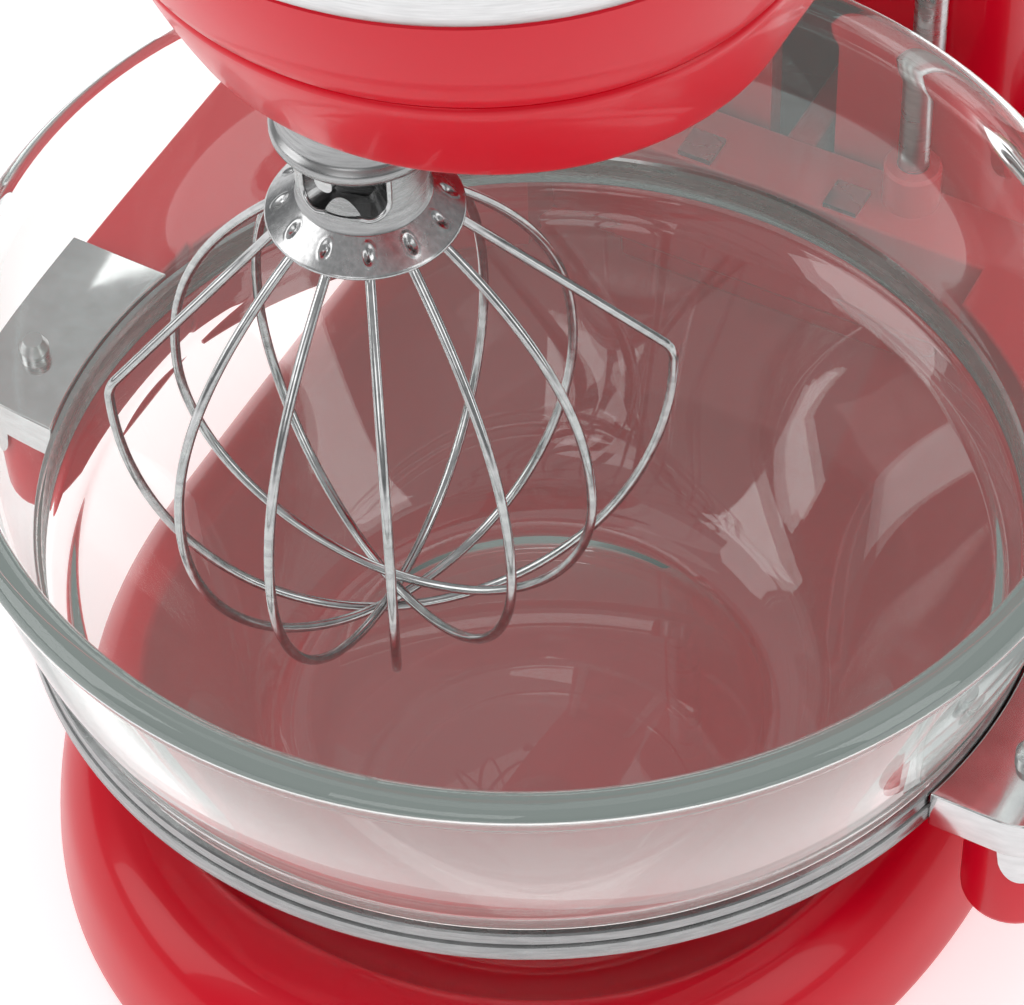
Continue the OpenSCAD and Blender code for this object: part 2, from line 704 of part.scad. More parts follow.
module planetary_housing() {
    color([0.7, 0.7, 0.68]) difference() {
        union() {
            translate([0, bowl_y, disc_z]) cylinder(r = disc_r, h = disc_t);
            translate([beater_x, beater_y, flange_z + 3.5]) cylinder(r = pocket_r + 2, h = disc_z - flange_z - 3);
            translate([beater_x, beater_y, flange_z]) rotate_extrude()
                polygon([[12, 0], [17.2, 0], [18.3, 0.9], [18.3, 2.6], [17.6, 3.6], [12, 3.6]]);
        }
        translate([beater_x, beater_y, flange_z - 1]) cylinder(r = pocket_r, h = pocket_h + 1);
        translate([beater_x, beater_y, flange_z]) cylinder(r = beater_shaft_r + 2.5, h = 60);
        translate([0, bowl_y, disc_z + 1]) cylinder(r = drive_shaft_r, h = 20);
    }
}

module beater_bush() {
    color(bronze) translate([beater_x, beater_y, flange_z + pocket_h])
        tube(beater_shaft_r + 2.5, beater_shaft_r + run_gap, disc_z + disc_t - flange_z - pocket_h);
}

module beater_shaft() {
    z0 = collar_z + 2.4 + push_travel;
    color(steel) translate([beater_x, beater_y, z0]) difference() {
        cylinder(r = beater_shaft_r, h = gear_z + gear_w - z0);
        translate([0, 0, pin_z - z0]) rotate(pin_a) translate([-8, 0, 0])
            rotate([0, 90, 0]) cylinder(r = pin_r, h = 16);
    }
}

module planet_pinion() {
    color(steel) translate([beater_x, beater_y, gear_z]) rotate(orbit_a)
        spur(gear_m, planet_teeth, gear_w, beater_shaft_r);
}

module cross_pin() {
    color(steel) translate([beater_x, beater_y, pin_z]) rotate(pin_a) translate([-beater_shaft_r + 0.5, 0, 0])
        rotate([0, 90, 0]) cylinder(r = pin_r, h = beater_shaft_r - 0.5 + whip_hub_r - 1);
}

spring_z = hub_top + washer_t;
spring_turns = 3;
module beater_spring() {
    color(steel) translate([beater_x, beater_y, spring_z]) for (k = [0:spring_turns])
        translate([0, 0, k * (flange_z + pocket_h - spring_z - 1.6) / spring_turns])
            tube(pocket_r - 2.5, pocket_r - 4.1, 1.6);
}

module spring_washer() {
    color(steel) translate([beater_x, beater_y, hub_top]) tube(whip_hub_r - 1, beater_shaft_r + run_gap, washer_t);
}

// ==== whip ====

module at_whip(z = 0) {
    translate([beater_x, beater_y, z]) children();
}

module whip_collar() {
    color(steel) at_whip(collar_z) difference() {
        rotate_extrude() polygon([[whip_hub_r - 2, 0], [collar_r - 0.6, 0], [collar_r, 0.5],
            [whip_hub_r + 0.5, cone_h - 0.4], [whip_hub_r, cone_h], [whip_hub_r - 2, cone_h]]);
        for (k = [0:11]) rotate(whip_a + 30 * k) translate([collar_r - 2.7, 0, 3.9])
            rotate([0, 43, 0]) translate([0, 0, -1]) cylinder(r = 1.35, h = 4);
    }
}

module whip_hub() {
    window_z = pin_z - pin_r - push_travel - 0.5;
    window_top = pin_z + pin_r + 0.3;
    color(steel) at_whip() difference() {
        union() {
            translate([0, 0, collar_z + 1]) cylinder(r = whip_hub_r - 2, h = 3);
            translate([0, 0, collar_z + 4]) cylinder(r = whip_hub_r - 2, h = cone_h - 4 + eps);
            translate([0, 0, collar_z + cone_h]) cylinder(r = whip_hub_r, h = hub_top - collar_z - cone_h);
        }
        translate([0, 0, collar_z + 3.5]) cylinder(r = beater_shaft_r + run_gap, h = 40);
        translate([0, 0, collar_z + 1.8]) cylinder(r = beater_shaft_r + 1, h = 2);
        translate([0, 0, window_z]) rotate(window_a - window_half)
            rotate_extrude(angle = 2 * window_half) translate([beater_shaft_r - 1, 0])
                square([whip_hub_r, window_top - window_z]);
        rotate(entry_a) translate([0, -pin_r - 0.5, window_z]) cube([30, 2 * pin_r + 1, 30]);
    }
}

// Tube swept along a path in the plane y = 0
module bent_wire(path, r) {
    n = 8;
    m = len(path);
    skin([for (i = [0:m - 1])
        let (p = path[i], q0 = path[max(0, i - 1)], q1 = path[min(m - 1, i + 1)],
             t = (q1 - q0) / norm(q1 - q0))
        [for (j = [0:n - 1]) let (a = 360 * (j + 0.5) / n)
            [p[0] - r * sin(a) * t[1], r * cos(a), p[1] + r * sin(a) * t[0]]]]);
}

wire_r0 = 16;
wire_top = collar_z - 1.5;
loop_mid = whip_bottom + 60;
// Half a smooth loop, from under the collar down to the axis
function smooth_half(zb) = concat(
    [for (k = [0:7]) let (u = 1 - k / 8)
        [wire_r0 + (loop_r - wire_r0) * (1 - pow(u, 2.17)), loop_mid + (wire_top - loop_mid) * u]],
    [for (k = [0:8]) let (a = k * 11.25) [loop_r * cos(a), loop_mid - (loop_mid - zb) * sin(a)]]);
// Half of the wide loop: a straight arm, a tight bend at the shoulder and a bowed side
bend_r = 8;
shoulder_drop = 50;
function wide_half(r, zb) = let (zs = wire_top - shoulder_drop, slope = 46) concat(
    [[wire_r0, wire_top]],
    [for (k = [0:4]) let (a = 90 - slope - k * (90 - slope) / 4)
        [r - bend_r + bend_r * cos(a), zs + bend_r * sin(a)]],
    [for (k = [1:10]) let (a = k * 9) [r * cos(a), zs - (zs - zb) * sin(a)]]);
shoulder_skew = 3.2;
module whip_wire(k) {
    zb = whip_bottom + k * (wire_d + 0.2);
    wide = k == 0;
    a = wide ? wide_half(shoulder_r + shoulder_skew, zb) : smooth_half(zb);
    b = wide ? wide_half(shoulder_r - shoulder_skew, zb) : smooth_half(zb);
    path = concat(a, [for (i = [len(b) - 2:-1:0]) [-b[i][0], b[i][1]]]);
    color(steel) at_whip() rotate(whip_a + 30 * k) {
        bent_wire(path, wire_d / 2);
        for (s = [-1, 1]) translate([s * wire_r0, 0, wire_top - 0.5]) cylinder(r = wire_d / 2 + 0.3, h = 2);
    }
}

// ==== bowl ====

// Outside of the glass, from the foot up to the bead, as [radius, height above the foot]
low_h = ring_z - bowl_z0;
seat_r = ring_r - ring_t;
glass_out = concat([[foot_ring_r, 0]],
    [for (k = [0:6]) let (t = k / 6)
        [foot_ring_r + 8 + (seat_r - foot_ring_r - 14) * pow(t, 0.85), 3 + (low_h - 7) * pow(t, 1.15)]],
    [[seat_r, low_h], [seat_r, low_h + ring_h]],
    [for (k = [1:4]) [seat_r + (rim_r - 4 - seat_r) * sin(k * 22),
        low_h + ring_h + (bowl_h - low_h - ring_h - 9) * k / 4]]);
bead_r = 4.2;
glass_top = bowl_h - bead_r;
module glass_bowl() {
    inside = [for (k = [len(glass_out) - 1:-1:2]) [glass_out[k][0] - glass_t, max(8, glass_out[k][1] + 1.5)]];
    bead = [for (a = [-40:20:180]) [rim_r - bead_r + bead_r * cos(a), glass_top + bead_r * sin(a)]];
    color([0.82, 0.88, 0.86, 0.4]) translate([0, bowl_y, bowl_z0]) rotate_extrude()
        polygon(concat([[0, 0]], glass_out, bead, inside, [[50, 5.2], [0, 5]]));
}

module carrier_ring() {
    color(steel) translate([0, bowl_y, ring_z]) tube(ring_r, ring_r - ring_t, ring_h);
}

module bracket_plan(g) {
    w = arm_w / 2 + arm_gap + g;
    translate([arm_cx, tip_y]) circle(r = w);
    translate([arm_cx - w, tip_y]) square([2 * w, 44]);
    translate([ring_r - 12, tip_y - w]) square([arm_cx - ring_r + 12, 44 + w]);
}

module one_bracket() {
    difference() {
        union() {
            translate([0, 0, arm_top]) linear_extrude(2.5) bracket_plan(skirt_t);
            translate([0, 0, arm_top - 9]) linear_extrude(9 + eps) difference() {
                bracket_plan(skirt_t);
                bracket_plan(0);
                translate([0, tip_y + 4]) square([arm_cx, 60]);
                translate([0, tip_y + 43]) square([300, 60]);
            }
            translate([0, 0, arm_top - 19]) linear_extrude(10 + eps) difference() {
                bracket_plan(skirt_t - 0.4);
                bracket_plan(0);
                translate([0, tip_y - 60]) square([arm_x0 + 4, 200]);
                translate([0, tip_y + 42]) square([300, 60]);
            }
        }
        translate([0, bowl_y, 0]) cylinder(r = ring_r, h = 300, $fn = 96);
        translate([arm_cx, locate_y, arm_top - 30]) cylinder(r = pin_hole_r, h = 60);
    }
}
locate_r = 4;
pin_hole_r = 4.6;
module bowl_brackets() {
    color([0.85, 0.85, 0.86]) mirror_x() one_bracket();
}

tab_w = 30;
module latch_tab() {
    color(steel) difference() {
        translate([-tab_w / 2, bowl_y + ring_r - 6, ring_z + 1]) cube([tab_w, 6 + yoke_gap + 8, 3]);
        translate([0, bowl_y, 0]) cylinder(r = ring_r, h = 300, $fn = 96);
    }
}

// ==== yoke and lift ====

module bowl_yoke() {
    x1 = arm_x1;
    bar_y0 = bowl_y + ring_r + yoke_gap;
    bar_y1 = bar_y0 + yoke_t;
    corner = 24;
    color(red) difference() {
        union() {
            translate([0, 0, arm_z0]) linear_extrude(arm_h) difference() {
                union() {
                    translate([-x1 + corner, bar_y0]) square([2 * (x1 - corner), yoke_t]);
                    mirror_x() {
                        translate([x1 - corner, bar_y1 - corner]) circle(r = corner);
                        translate([arm_x0, tip_y]) square([arm_w, bar_y1 - corner - tip_y]);
                        translate([arm_cx, tip_y]) circle(r = arm_w / 2);
                    }
                }
                difference() {
                    translate([-arm_x0, bowl_y]) square([2 * arm_x0, ring_r + yoke_gap]);
                    difference() {
                        translate([-arm_x0, bowl_y + ring_r + yoke_gap - 22]) square([2 * arm_x0, 22]);
                        translate([0, bowl_y]) circle(r = ring_r + 4.5);
                        translate([-60, bowl_y]) square([120, 300]);
                    }
                }
            }
            mirror_x() translate([rail_x, rail_y, arm_z0]) cylinder(r = guide_r + 3.5, h = arm_h + 12);
            translate([-4, bar_y1 - 1, arm_z0 + 14]) cube([8, crank_y + crank_r + 12 - bar_y1, 22]);
        }
        mirror_x() {
            translate([rail_x, rail_y, arm_z0 - 1]) cylinder(r = guide_r + run_gap, h = arm_h + 20);
            translate([arm_cx, locate_y, arm_top - 16]) cylinder(r = locate_r, h = 20);
        }
        slot_w = crank_pin_r + slot_gap;
        translate([-6, crank_y + crank_r * cos(45) - slot_w, lift_slot_z0() - slot_w])
            cube([12, crank_r * (1 - cos(45)) + 2 * slot_w, 2 * slot_w]);
        translate([-tab_w / 2 - 2, bar_y0 - 1, ring_z - 1]) cube([tab_w + 4, 10, 30]);
    }
}

module locating_pins() {
    color(steel) mirror_x() translate([arm_cx, locate_y, arm_top - 16]) {
        cylinder(r = locate_r, h = 16 + 6);
        translate([0, 0, 22]) cylinder(r1 = locate_r, r2 = locate_r - 1.4, h = 2.5);
    }
}

// Two leaf springs on the yoke, one on each side of the bowl's tab
module bowl_clip() {
    y0 = bowl_y + ring_r + yoke_gap;
    x0 = tab_w / 2 + 0.6;
    color(steel) mirror_x() {
        translate([x0, y0 + 1, ring_z - 1]) cube([1.3, 7, arm_top - ring_z + 2]);
        translate([x0, y0 + 1, arm_top]) cube([9, 9, 1.5]);
    }
}

module lift_crank() {
    a = -45;
    color(steel) {
        x_rod(lever_r, 14, col_w / 2 + handle_x, crank_y, crank_z);
        translate([7, crank_y, crank_z]) rotate([a, 0, 0]) translate([0, -8, -8])
            cube([7, crank_r + 16, 16]);
        x_rod(crank_pin_r, -7, 8, crank_y + crank_r * cos(a), crank_z + crank_r * sin(a));
    }
}

handle_x = 13;
handle_l = 46;
handle_a = -8;
module lift_handle() {
    color(steel) difference() {
        translate([col_w / 2 + handle_x - 4, crank_y, crank_z]) rotate([handle_a, 0, 0]) union() {
            rotate([0, 90, 0]) cylinder(r = 11, h = 8);
            translate([0, 0, -5]) cube([8, handle_l, 10]);
        }
        x_rod(lever_r, 0, col_w / 2 + handle_x, crank_y, crank_z);
    }
}

module lift_knob() {
    color(dark) translate([col_w / 2 + handle_x, crank_y, crank_z]) rotate([handle_a, 0, 0])
        translate([0, handle_l, 0]) rotate([-90, 0, 0]) rotate_extrude()
            polygon([[0, 0], [7, 0], [9.5, 4], [11, 12], [11, 20], [8.5, 26], [4, 28], [0, 28]]);
}

// ==== one call for each node ====

base();
rubber_feet();
column();
column_bolts();
head_lower_housing();
head_upper_housing();
housing_screws();
trim_band();
rear_end_cover();
cord_gland();
attachment_hub();
ring_gear();
gear_case();
ball_bearings();
hub_bushes();
motor_stator();
motor_end_brackets();
carbon_brushes();
brush_caps();
control_board();
guide_rods();
lever_bush();
planetary_housing();
drive_shaft();
bevel_gear();
beater_bush();
beater_shaft();
planet_pinion();
cross_pin();
beater_spring();
spring_washer();
whip_collar();
whip_hub();
whip_wire(0);  // whip_wire_1
whip_wire(1);  // whip_wire_2
whip_wire(2);  // whip_wire_3
whip_wire(3);  // whip_wire_4
whip_wire(4);  // whip_wire_5
whip_wire(5);  // whip_wire_6
hub_drive_shaft();
hub_bevel_pinion();
hub_drive_gear();
motor_armature();
motor_pinion();
cooling_fan();
bowl_yoke();
locating_pins();
bowl_clip();
lift_crank();
lift_handle();
lift_knob();
glass_bowl();
carrier_ring();
bowl_brackets();
latch_tab();
hub_cap();
hub_thumbscrew();
speed_lever();
speed_knob();
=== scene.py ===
"""Looks of a bowl-lift stand mixer: enamelled castings, a glass bowl and a six-loop wire whip."""

import json
from math import copysign, cos, pi, radians, sin, sqrt

import bmesh
import bpy
from mathutils import Matrix, Vector


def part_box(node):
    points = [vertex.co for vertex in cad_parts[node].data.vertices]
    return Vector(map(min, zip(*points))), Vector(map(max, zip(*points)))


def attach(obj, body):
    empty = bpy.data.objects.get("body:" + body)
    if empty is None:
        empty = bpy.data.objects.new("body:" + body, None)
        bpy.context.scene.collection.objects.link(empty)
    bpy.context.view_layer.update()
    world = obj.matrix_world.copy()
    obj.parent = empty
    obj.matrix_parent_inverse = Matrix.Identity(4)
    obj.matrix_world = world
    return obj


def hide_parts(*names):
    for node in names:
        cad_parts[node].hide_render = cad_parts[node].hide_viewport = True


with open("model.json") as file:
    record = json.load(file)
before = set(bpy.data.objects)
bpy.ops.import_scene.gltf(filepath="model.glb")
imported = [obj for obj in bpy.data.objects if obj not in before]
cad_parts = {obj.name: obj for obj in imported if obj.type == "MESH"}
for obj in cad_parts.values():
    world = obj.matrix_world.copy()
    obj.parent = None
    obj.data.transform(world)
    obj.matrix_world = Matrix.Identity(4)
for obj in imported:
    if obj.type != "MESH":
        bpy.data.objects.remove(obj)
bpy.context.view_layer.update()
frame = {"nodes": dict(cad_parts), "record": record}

# ---- sizes, in millimetres, read from the frame
MM = 0.001


def low(node, axis):
    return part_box(node)[0]["xyz".index(axis)] / MM


def high(node, axis):
    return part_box(node)[1]["xyz".index(axis)] / MM


bowl_y = (low("glass_bowl", "y") + high("glass_bowl", "y")) / 2
bowl_z = low("glass_bowl", "z")
rim_z = high("glass_bowl", "z")
rim_r = high("glass_bowl", "x")
ring_z = low("carrier_ring", "z")
ring_h = high("carrier_ring", "z") - ring_z
ring_r = high("carrier_ring", "x")
skirt_z = low("head_lower_housing", "z")
seam_z = low("rear_end_cover", "z")
band_z = low("trim_band", "z")
band_h = high("trim_band", "z") - band_z
top_z = high("head_upper_housing", "z")
nose_y = low("head_upper_housing", "y")
tail_y = high("rear_end_cover", "y")
cover_y = low("rear_end_cover", "y")
head_half_w = high("head_upper_housing", "x")
nose_reach = bowl_y - nose_y
head_h = top_z - skirt_z
widest_z = skirt_z + 0.513 * head_h
hub_z = (low("attachment_hub", "z") + high("attachment_hub", "z")) / 2
disc_r = high("planetary_housing", "x")
beater_x = (low("spring_washer", "x") + high("spring_washer", "x")) / 2
beater_y = (low("spring_washer", "y") + high("spring_washer", "y")) / 2
flange_z = low("planetary_housing", "z")
hub_top = low("spring_washer", "z")
collar_z = low("whip_collar", "z")
collar_r = (high("whip_collar", "x") - low("whip_collar", "x")) / 2
collar_h = 6.5
hub_r = 13.8
base_half_l = high("base", "y")
base_half_w = high("base", "x")
base_h = high("base", "z")
base_bottom = low("base", "z")
col_y0 = low("column_bolts", "y") - 8
col_y1 = high("column_bolts", "y") + 8
arm_top = high("bowl_yoke", "z") - 12
arm_bottom = low("bowl_yoke", "z")
arm_outer = high("bowl_yoke", "x")
arm_w = arm_outer - ring_r
arm_mid = ring_r + arm_w / 2
arm_tip = bowl_y - 18.25
crank_y = (low("lever_bush", "y") + high("lever_bush", "y")) / 2
crank_z = (low("lever_bush", "z") + high("lever_bush", "z")) / 2

WHIP_TURN = radians(32.6)
WINDOW_TURN = radians(-78.5)


# ---- camera
def make_camera():
    """Looks down into the bowl from the mixer's front right."""
    rise, turn, roll = radians(49.169), radians(30), radians(-1.95)
    distance, aside, above = 900, 3.873, 37.37
    back = Vector((sin(turn) * cos(rise), -cos(turn) * cos(rise), sin(rise)))
    level = Vector((cos(turn), sin(turn), 0))
    upright = back.cross(level)
    right = cos(roll) * level + sin(roll) * upright
    up = -sin(roll) * level + cos(roll) * upright
    place = Vector((0, bowl_y, rim_z)) + distance * back - aside * right - above * up
    data = bpy.data.cameras.new("camera")
    data.sensor_width = 36
    data.lens = 145.7
    data.clip_start = 0.05
    camera = bpy.data.objects.new("camera", data)
    turned = Matrix((right, up, back)).transposed()
    camera.matrix_world = Matrix.Translation(place * MM) @ turned.to_4x4()
    bpy.context.scene.collection.objects.link(camera)
    bpy.context.scene.camera = camera


# ---- materials
def finish(name, **sockets):
    """A Principled material. A socket's name is written with _ for each space."""
    made = bpy.data.materials.new(name)
    made.use_nodes = True
    surface = made.node_tree.nodes["Principled BSDF"]
    for socket, value in sockets.items():
        surface.inputs[socket.replace("_", " ")].default_value = value
    return made


def noise(made, scale, stretch=(1, 1, 1), detail=4.0):
    """Noise on the piece's own coordinates, finer along the axes with more stretch."""
    nodes, links = made.node_tree.nodes, made.node_tree.links
    place = nodes.new("ShaderNodeTexCoord")
    turn = nodes.new("ShaderNodeMapping")
    turn.inputs["Scale"].default_value = stretch
    grain = nodes.new("ShaderNodeTexNoise")
    grain.inputs["Scale"].default_value = scale
    grain.inputs["Detail"].default_value = detail
    links.new(place.outputs["Object"], turn.inputs["Vector"])
    links.new(turn.outputs["Vector"], grain.inputs["Vector"])
    return grain.outputs["Fac"]


def bumps(made, source, strength, height):
    nodes, links = made.node_tree.nodes, made.node_tree.links
    bump = nodes.new("ShaderNodeBump")
    bump.inputs["Strength"].default_value = strength
    bump.inputs["Distance"].default_value = height
    links.new(source, bump.inputs["Height"])
    links.new(bump.outputs["Normal"], nodes["Principled BSDF"].inputs["Normal"])


def shade(made, source, socket, darkest, lightest):
    """Varies one socket between two values, or two colours, with the noise."""
    nodes, links = made.node_tree.nodes, made.node_tree.links
    ramp = nodes.new("ShaderNodeValToRGB")
    ramp.color_ramp.elements[0].position = 0.3
    ramp.color_ramp.elements[1].position = 0.7
    ramp.color_ramp.elements[0].color = darkest
    ramp.color_ramp.elements[1].color = lightest
    links.new(source, ramp.inputs["Fac"])
    links.new(ramp.outputs["Color"], nodes["Principled BSDF"].inputs[socket])


def grey(value):
    return (value, value, value, 1)


def red_enamel():
    made = finish("red enamel", Roughness=0.3, Coat_Weight=0.25, Coat_Roughness=0.05, Specular_IOR_Level=0.2)
    shade(made, noise(made, 14), "Base Color", (0.62, 0.0, 0.012, 1), (0.66, 0.0, 0.016, 1))
    bumps(made, noise(made, 260, detail=2), 0.05, 0.0002)
    return made


def metal(name, low_grey, high_grey, rough, spread, stretch, height):
    """Steel with fine lines, which run across the axis with the greatest stretch."""
    made = finish(name, Metallic=1.0)
    lines = noise(made, 160, stretch)
    shade(made, lines, "Base Color", grey(low_grey), grey(high_grey))
    shade(made, noise(made, 90, stretch), "Roughness", grey(rough - spread), grey(rough + spread))
    bumps(made, lines, 0.12, height)
    return made


def plastic(name, colour, rough, scale, height):
    made = finish(name, Coat_Weight=0.15)
    lighter = [min(1, 1.25 * c + 0.004) for c in colour[:3]] + [1]
    shade(made, noise(made, 40), "Base Color", colour, lighter)
    shade(made, noise(made, 60), "Roughness", grey(rough - 0.06), grey(rough + 0.06))
    bumps(made, noise(made, scale), 0.2, height)
    return made


def clear_glass():
    # The weak greenish emission is painted light: the glass glows faintly to brighten the bowl, though it gives off no
    # light of its own.
    made = finish("clear glass", Transmission_Weight=1.0, IOR=1.5, Specular_IOR_Level=0.5,
                  Emission_Color=(0.7, 0.8, 0.76, 1), Emission_Strength=0.045)
    shade(made, noise(made, 6), "Base Color", (0.93, 0.965, 0.95, 1), (0.96, 0.985, 0.975, 1))
    shade(made, noise(made, 25), "Roughness", grey(0.0), grey(0.02))
    bumps(made, noise(made, 9, detail=1), 0.05, 0.001)
    return made


FINISHES = {
    "red_enamel": red_enamel(),
    "rubber": plastic("black rubber", (0.025, 0.025, 0.026, 1), 0.7, 900, 0.0002),
    "satin_steel": metal("satin strip", 0.62, 0.74, 0.33, 0.06, (1, 1, 12), 0.0001),
    "plain_steel": metal("machined steel", 0.48, 0.6, 0.3, 0.06, (1, 1, 5), 0.0001),
    "cast_metal": metal("cast alloy", 0.5, 0.62, 0.4, 0.08, (1, 1, 1), 0.0002),
    "bronze": finish("oiled bronze", Metallic=1.0),
    "black_plastic": plastic("black plastic", (0.012, 0.012, 0.013, 1), 0.3, 700, 0.0001),
    "board": plastic("green board", (0.02, 0.16, 0.07, 1), 0.5, 500, 0.0001),
    "whip_steel": metal("polished wire steel", 0.4, 0.54, 0.17, 0.04, (1, 1, 3), 0.00004),
    "bright_steel": metal("bright plate", 0.6, 0.7, 0.1, 0.03, (1, 1, 4), 0.00003),
    "clear_glass": clear_glass(),
}
shade(FINISHES["bronze"], noise(FINISHES["bronze"], 60), "Base Color", (0.5, 0.31, 0.12, 1), (0.66, 0.44, 0.2, 1))
shade(FINISHES["bronze"], noise(FINISHES["bronze"], 80), "Roughness", grey(0.28), grey(0.42))
HUB_STEEL = metal("hub steel", 0.27, 0.38, 0.26, 0.05, (1, 1, 9), 0.00006)
COLLAR_STEEL = metal("brushed collar", 0.38, 0.52, 0.24, 0.05, (6, 6, 1), 0.00006)


# ---- mesh making
def smooth_path(points, steps=6):
    """More points along a smooth curve that passes through the given ones."""
    made = []
    for k in range(len(points) - 1):
        before = points[max(k - 1, 0)]
        after = points[min(k + 2, len(points) - 1)]
        start, end = points[k], points[k + 1]
        for s in range(steps):
            t = s / steps
            made.append(tuple(
                0.5 * (2 * b + (c - a) * t + (2 * a - 5 * b + 4 * c - d) * t ** 2
                       + (3 * b - a - 3 * c + d) * t ** 3)
                for a, b, c, d in zip(before, start, end, after)))
    return made + [tuple(points[-1])]


def loft(bm, outlines, loop=False, caps=True):
    """Skin through outlines with equal numbers of points, each extruded from the one before."""
    place = bm.verts.layers.int.get("place") or bm.verts.layers.int.new("place")
    ring = bmesh.ops.create_circle(bm, segments=len(outlines[0]), radius=1)["verts"]
    for number, vert in enumerate(ring):
        vert[place] = number
        vert.co = outlines[0][number]
    edges = list({edge for vert in ring for edge in vert.link_edges})
    first = edges
    for outline in outlines[1:] + ([outlines[0]] if loop else []):
        grown = bmesh.ops.extrude_edge_only(bm, edges=edges)["geom"]
        verts = {item for item in grown if isinstance(item, bmesh.types.BMVert)}
        edges = [item for item in grown if isinstance(item, bmesh.types.BMEdge)
                 and item.verts[0] in verts and item.verts[1] in verts]
        for vert in verts:
            vert.co = outline[vert[place]]
    if caps and not loop:
        bmesh.ops.contextual_create(bm, geom=first)
        bmesh.ops.contextual_create(bm, geom=edges)
    return edges


def turned(bm, profile, x=0.0, y=0.0, z=0.0, steps=96, loop=True, turn=None):
    """Turns a profile of (radius, height) about the upright axis through x, y."""
    verts = [bm.verts.new((r * MM, 0, h * MM)) for r, h in profile]
    pairs = list(zip(verts, verts[1:])) + ([(verts[-1], verts[0])] if loop else [])
    edges = [bm.edges.new(pair) for pair in pairs]
    made = bmesh.ops.spin(bm, geom=verts + edges, cent=(0, 0, 0), axis=(0, 0, 1), dvec=(0, 0, 0),
                          angle=2 * pi, steps=steps, use_merge=True, use_duplicate=False)
    whole = set(verts)
    seen = list(verts)
    while seen:
        for edge in seen.pop().link_edges:
            for vert in edge.verts:
                if vert not in whole:
                    whole.add(vert)
                    seen.append(vert)
    if turn:
        bmesh.ops.rotate(bm, verts=list(whole), cent=(0, 0, 0), matrix=turn)
    bmesh.ops.translate(bm, verts=list(whole), vec=Vector((x, y, z)) * MM)
    return list(whole)


def tube(bm, path, radius, sides=14, side=Vector((0, 1, 0))):
    """Round bar along a path of points, which bends in the plane square to side."""
    outlines = []
    for k, point in enumerate(path):
        ahead = path[min(k + 1, len(path) - 1)] - path[max(k - 1, 0)]
        across = ahead.normalized().cross(side).normalized()
        upward = ahead.normalized().cross(across).normalized()
        outlines.append([point + radius * (cos(a) * across + sin(a) * upward)
                         for a in (2 * pi * j / sides for j in range(sides))])
    loft(bm, outlines)


def block(bm, low_corner, high_corner, round_by=0.0):
    """Box between two corners, in millimetres, with rounded edges."""
    made = bmesh.ops.create_cube(bm, size=1)["verts"]
    for vert in made:
        vert.co = Vector([(lo + hi) / 2 + (hi - lo) * c for lo, hi, c in
                          zip(low_corner, high_corner, vert.co)]) * MM
    if round_by:
        edges = list({edge for vert in made for edge in vert.link_edges})
        bmesh.ops.bevel(bm, geom=edges, offset=round_by * MM, segments=3, affect="EDGES",
                        profile=0.5, material=-1)


def keep(bm, name, body, slot, nodes=(), sharp=32, surface=None):
    """Turns the bmesh into a piece that rides on a body and stands for CAD nodes."""
    bmesh.ops.remove_doubles(bm, verts=bm.verts, dist=0.000002)
    bmesh.ops.recalc_face_normals(bm, faces=bm.faces)
    mesh = bpy.data.meshes.new(name)
    bm.to_mesh(mesh)
    bm.free()
    mesh.shade_smooth()
    mesh.set_sharp_from_angle(angle=radians(sharp))
    mesh.materials.append(surface or FINISHES[slot])
    piece = bpy.data.objects.new(name, mesh)
    bpy.context.scene.collection.objects.link(piece)
    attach(piece, body)
    if nodes:
        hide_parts(*nodes)
    return piece


def carve(piece, cutter, sharp=32):
    """Cuts the closed shapes in a bmesh out of a piece."""
    bmesh.ops.recalc_face_normals(cutter, faces=cutter.faces)
    mesh = bpy.data.meshes.new("cutter")
    cutter.to_mesh(mesh)
    cutter.free()
    tool = bpy.data.objects.new("cutter", mesh)
    bpy.context.scene.collection.objects.link(tool)
    cut = piece.modifiers.new("cut", "BOOLEAN")
    cut.operation = "DIFFERENCE"
    cut.solver = "EXACT"
    cut.object = tool
    seen = piece.evaluated_get(bpy.context.evaluated_depsgraph_get())
    piece_mesh = bpy.data.meshes.new_from_object(seen)
    piece.modifiers.clear()
    piece.data = piece_mesh
    piece_mesh.set_sharp_from_angle(angle=radians(sharp))
    bpy.data.objects.remove(tool)


# ---- outlines
def plan(count, half_w, front, front_mid, rear_mid, rear, front_e, rear_e, z):
    """Outline from above: a front half-oval, straight sides and a rear half-oval."""
    points = []
    for j in range(count):
        a = 2 * pi * (j + 0.5) / count
        power = 2 / (rear_e if sin(a) > 0 else front_e)
        reach = abs(sin(a)) ** power
        y = rear_mid + (rear - rear_mid) * reach if sin(a) > 0 else front_mid + (front - front_mid) * reach
        points.append(Vector((half_w * copysign(abs(cos(a)) ** power, cos(a)), y, z)) * MM)
    return points


def circle(count, r, x, y, z):
    return [Vector((x + r * cos(a), y + r * sin(a), z)) * MM
            for a in (2 * pi * (j + 0.5) / count for j in range(count))]


HEAD_POINTS = 160


def head_outline(z, inset):
    tuck = ((widest_z - z) / (widest_z - skirt_z)) ** 1.92 if z < widest_z else 0
    up = min(0.998, max(0, (z - widest_z) / (top_z - inset - widest_z)))
    share = (1 - up ** 2.3) ** (1 / 2.3)
    half_w = (head_half_w - inset) * share - 12.5 * tuck
    front = nose_y + inset + 22 * tuck + nose_reach * (1 - share)
    rear = tail_y - inset - 4 * tuck - 110 * (1 - share)
    return plan(HEAD_POINTS, half_w, front, front + 0.95 * half_w,
                rear - (1.35 - 0.6 * tuck) * half_w, rear, 2, 2.4 + 1.6 * tuck, z)


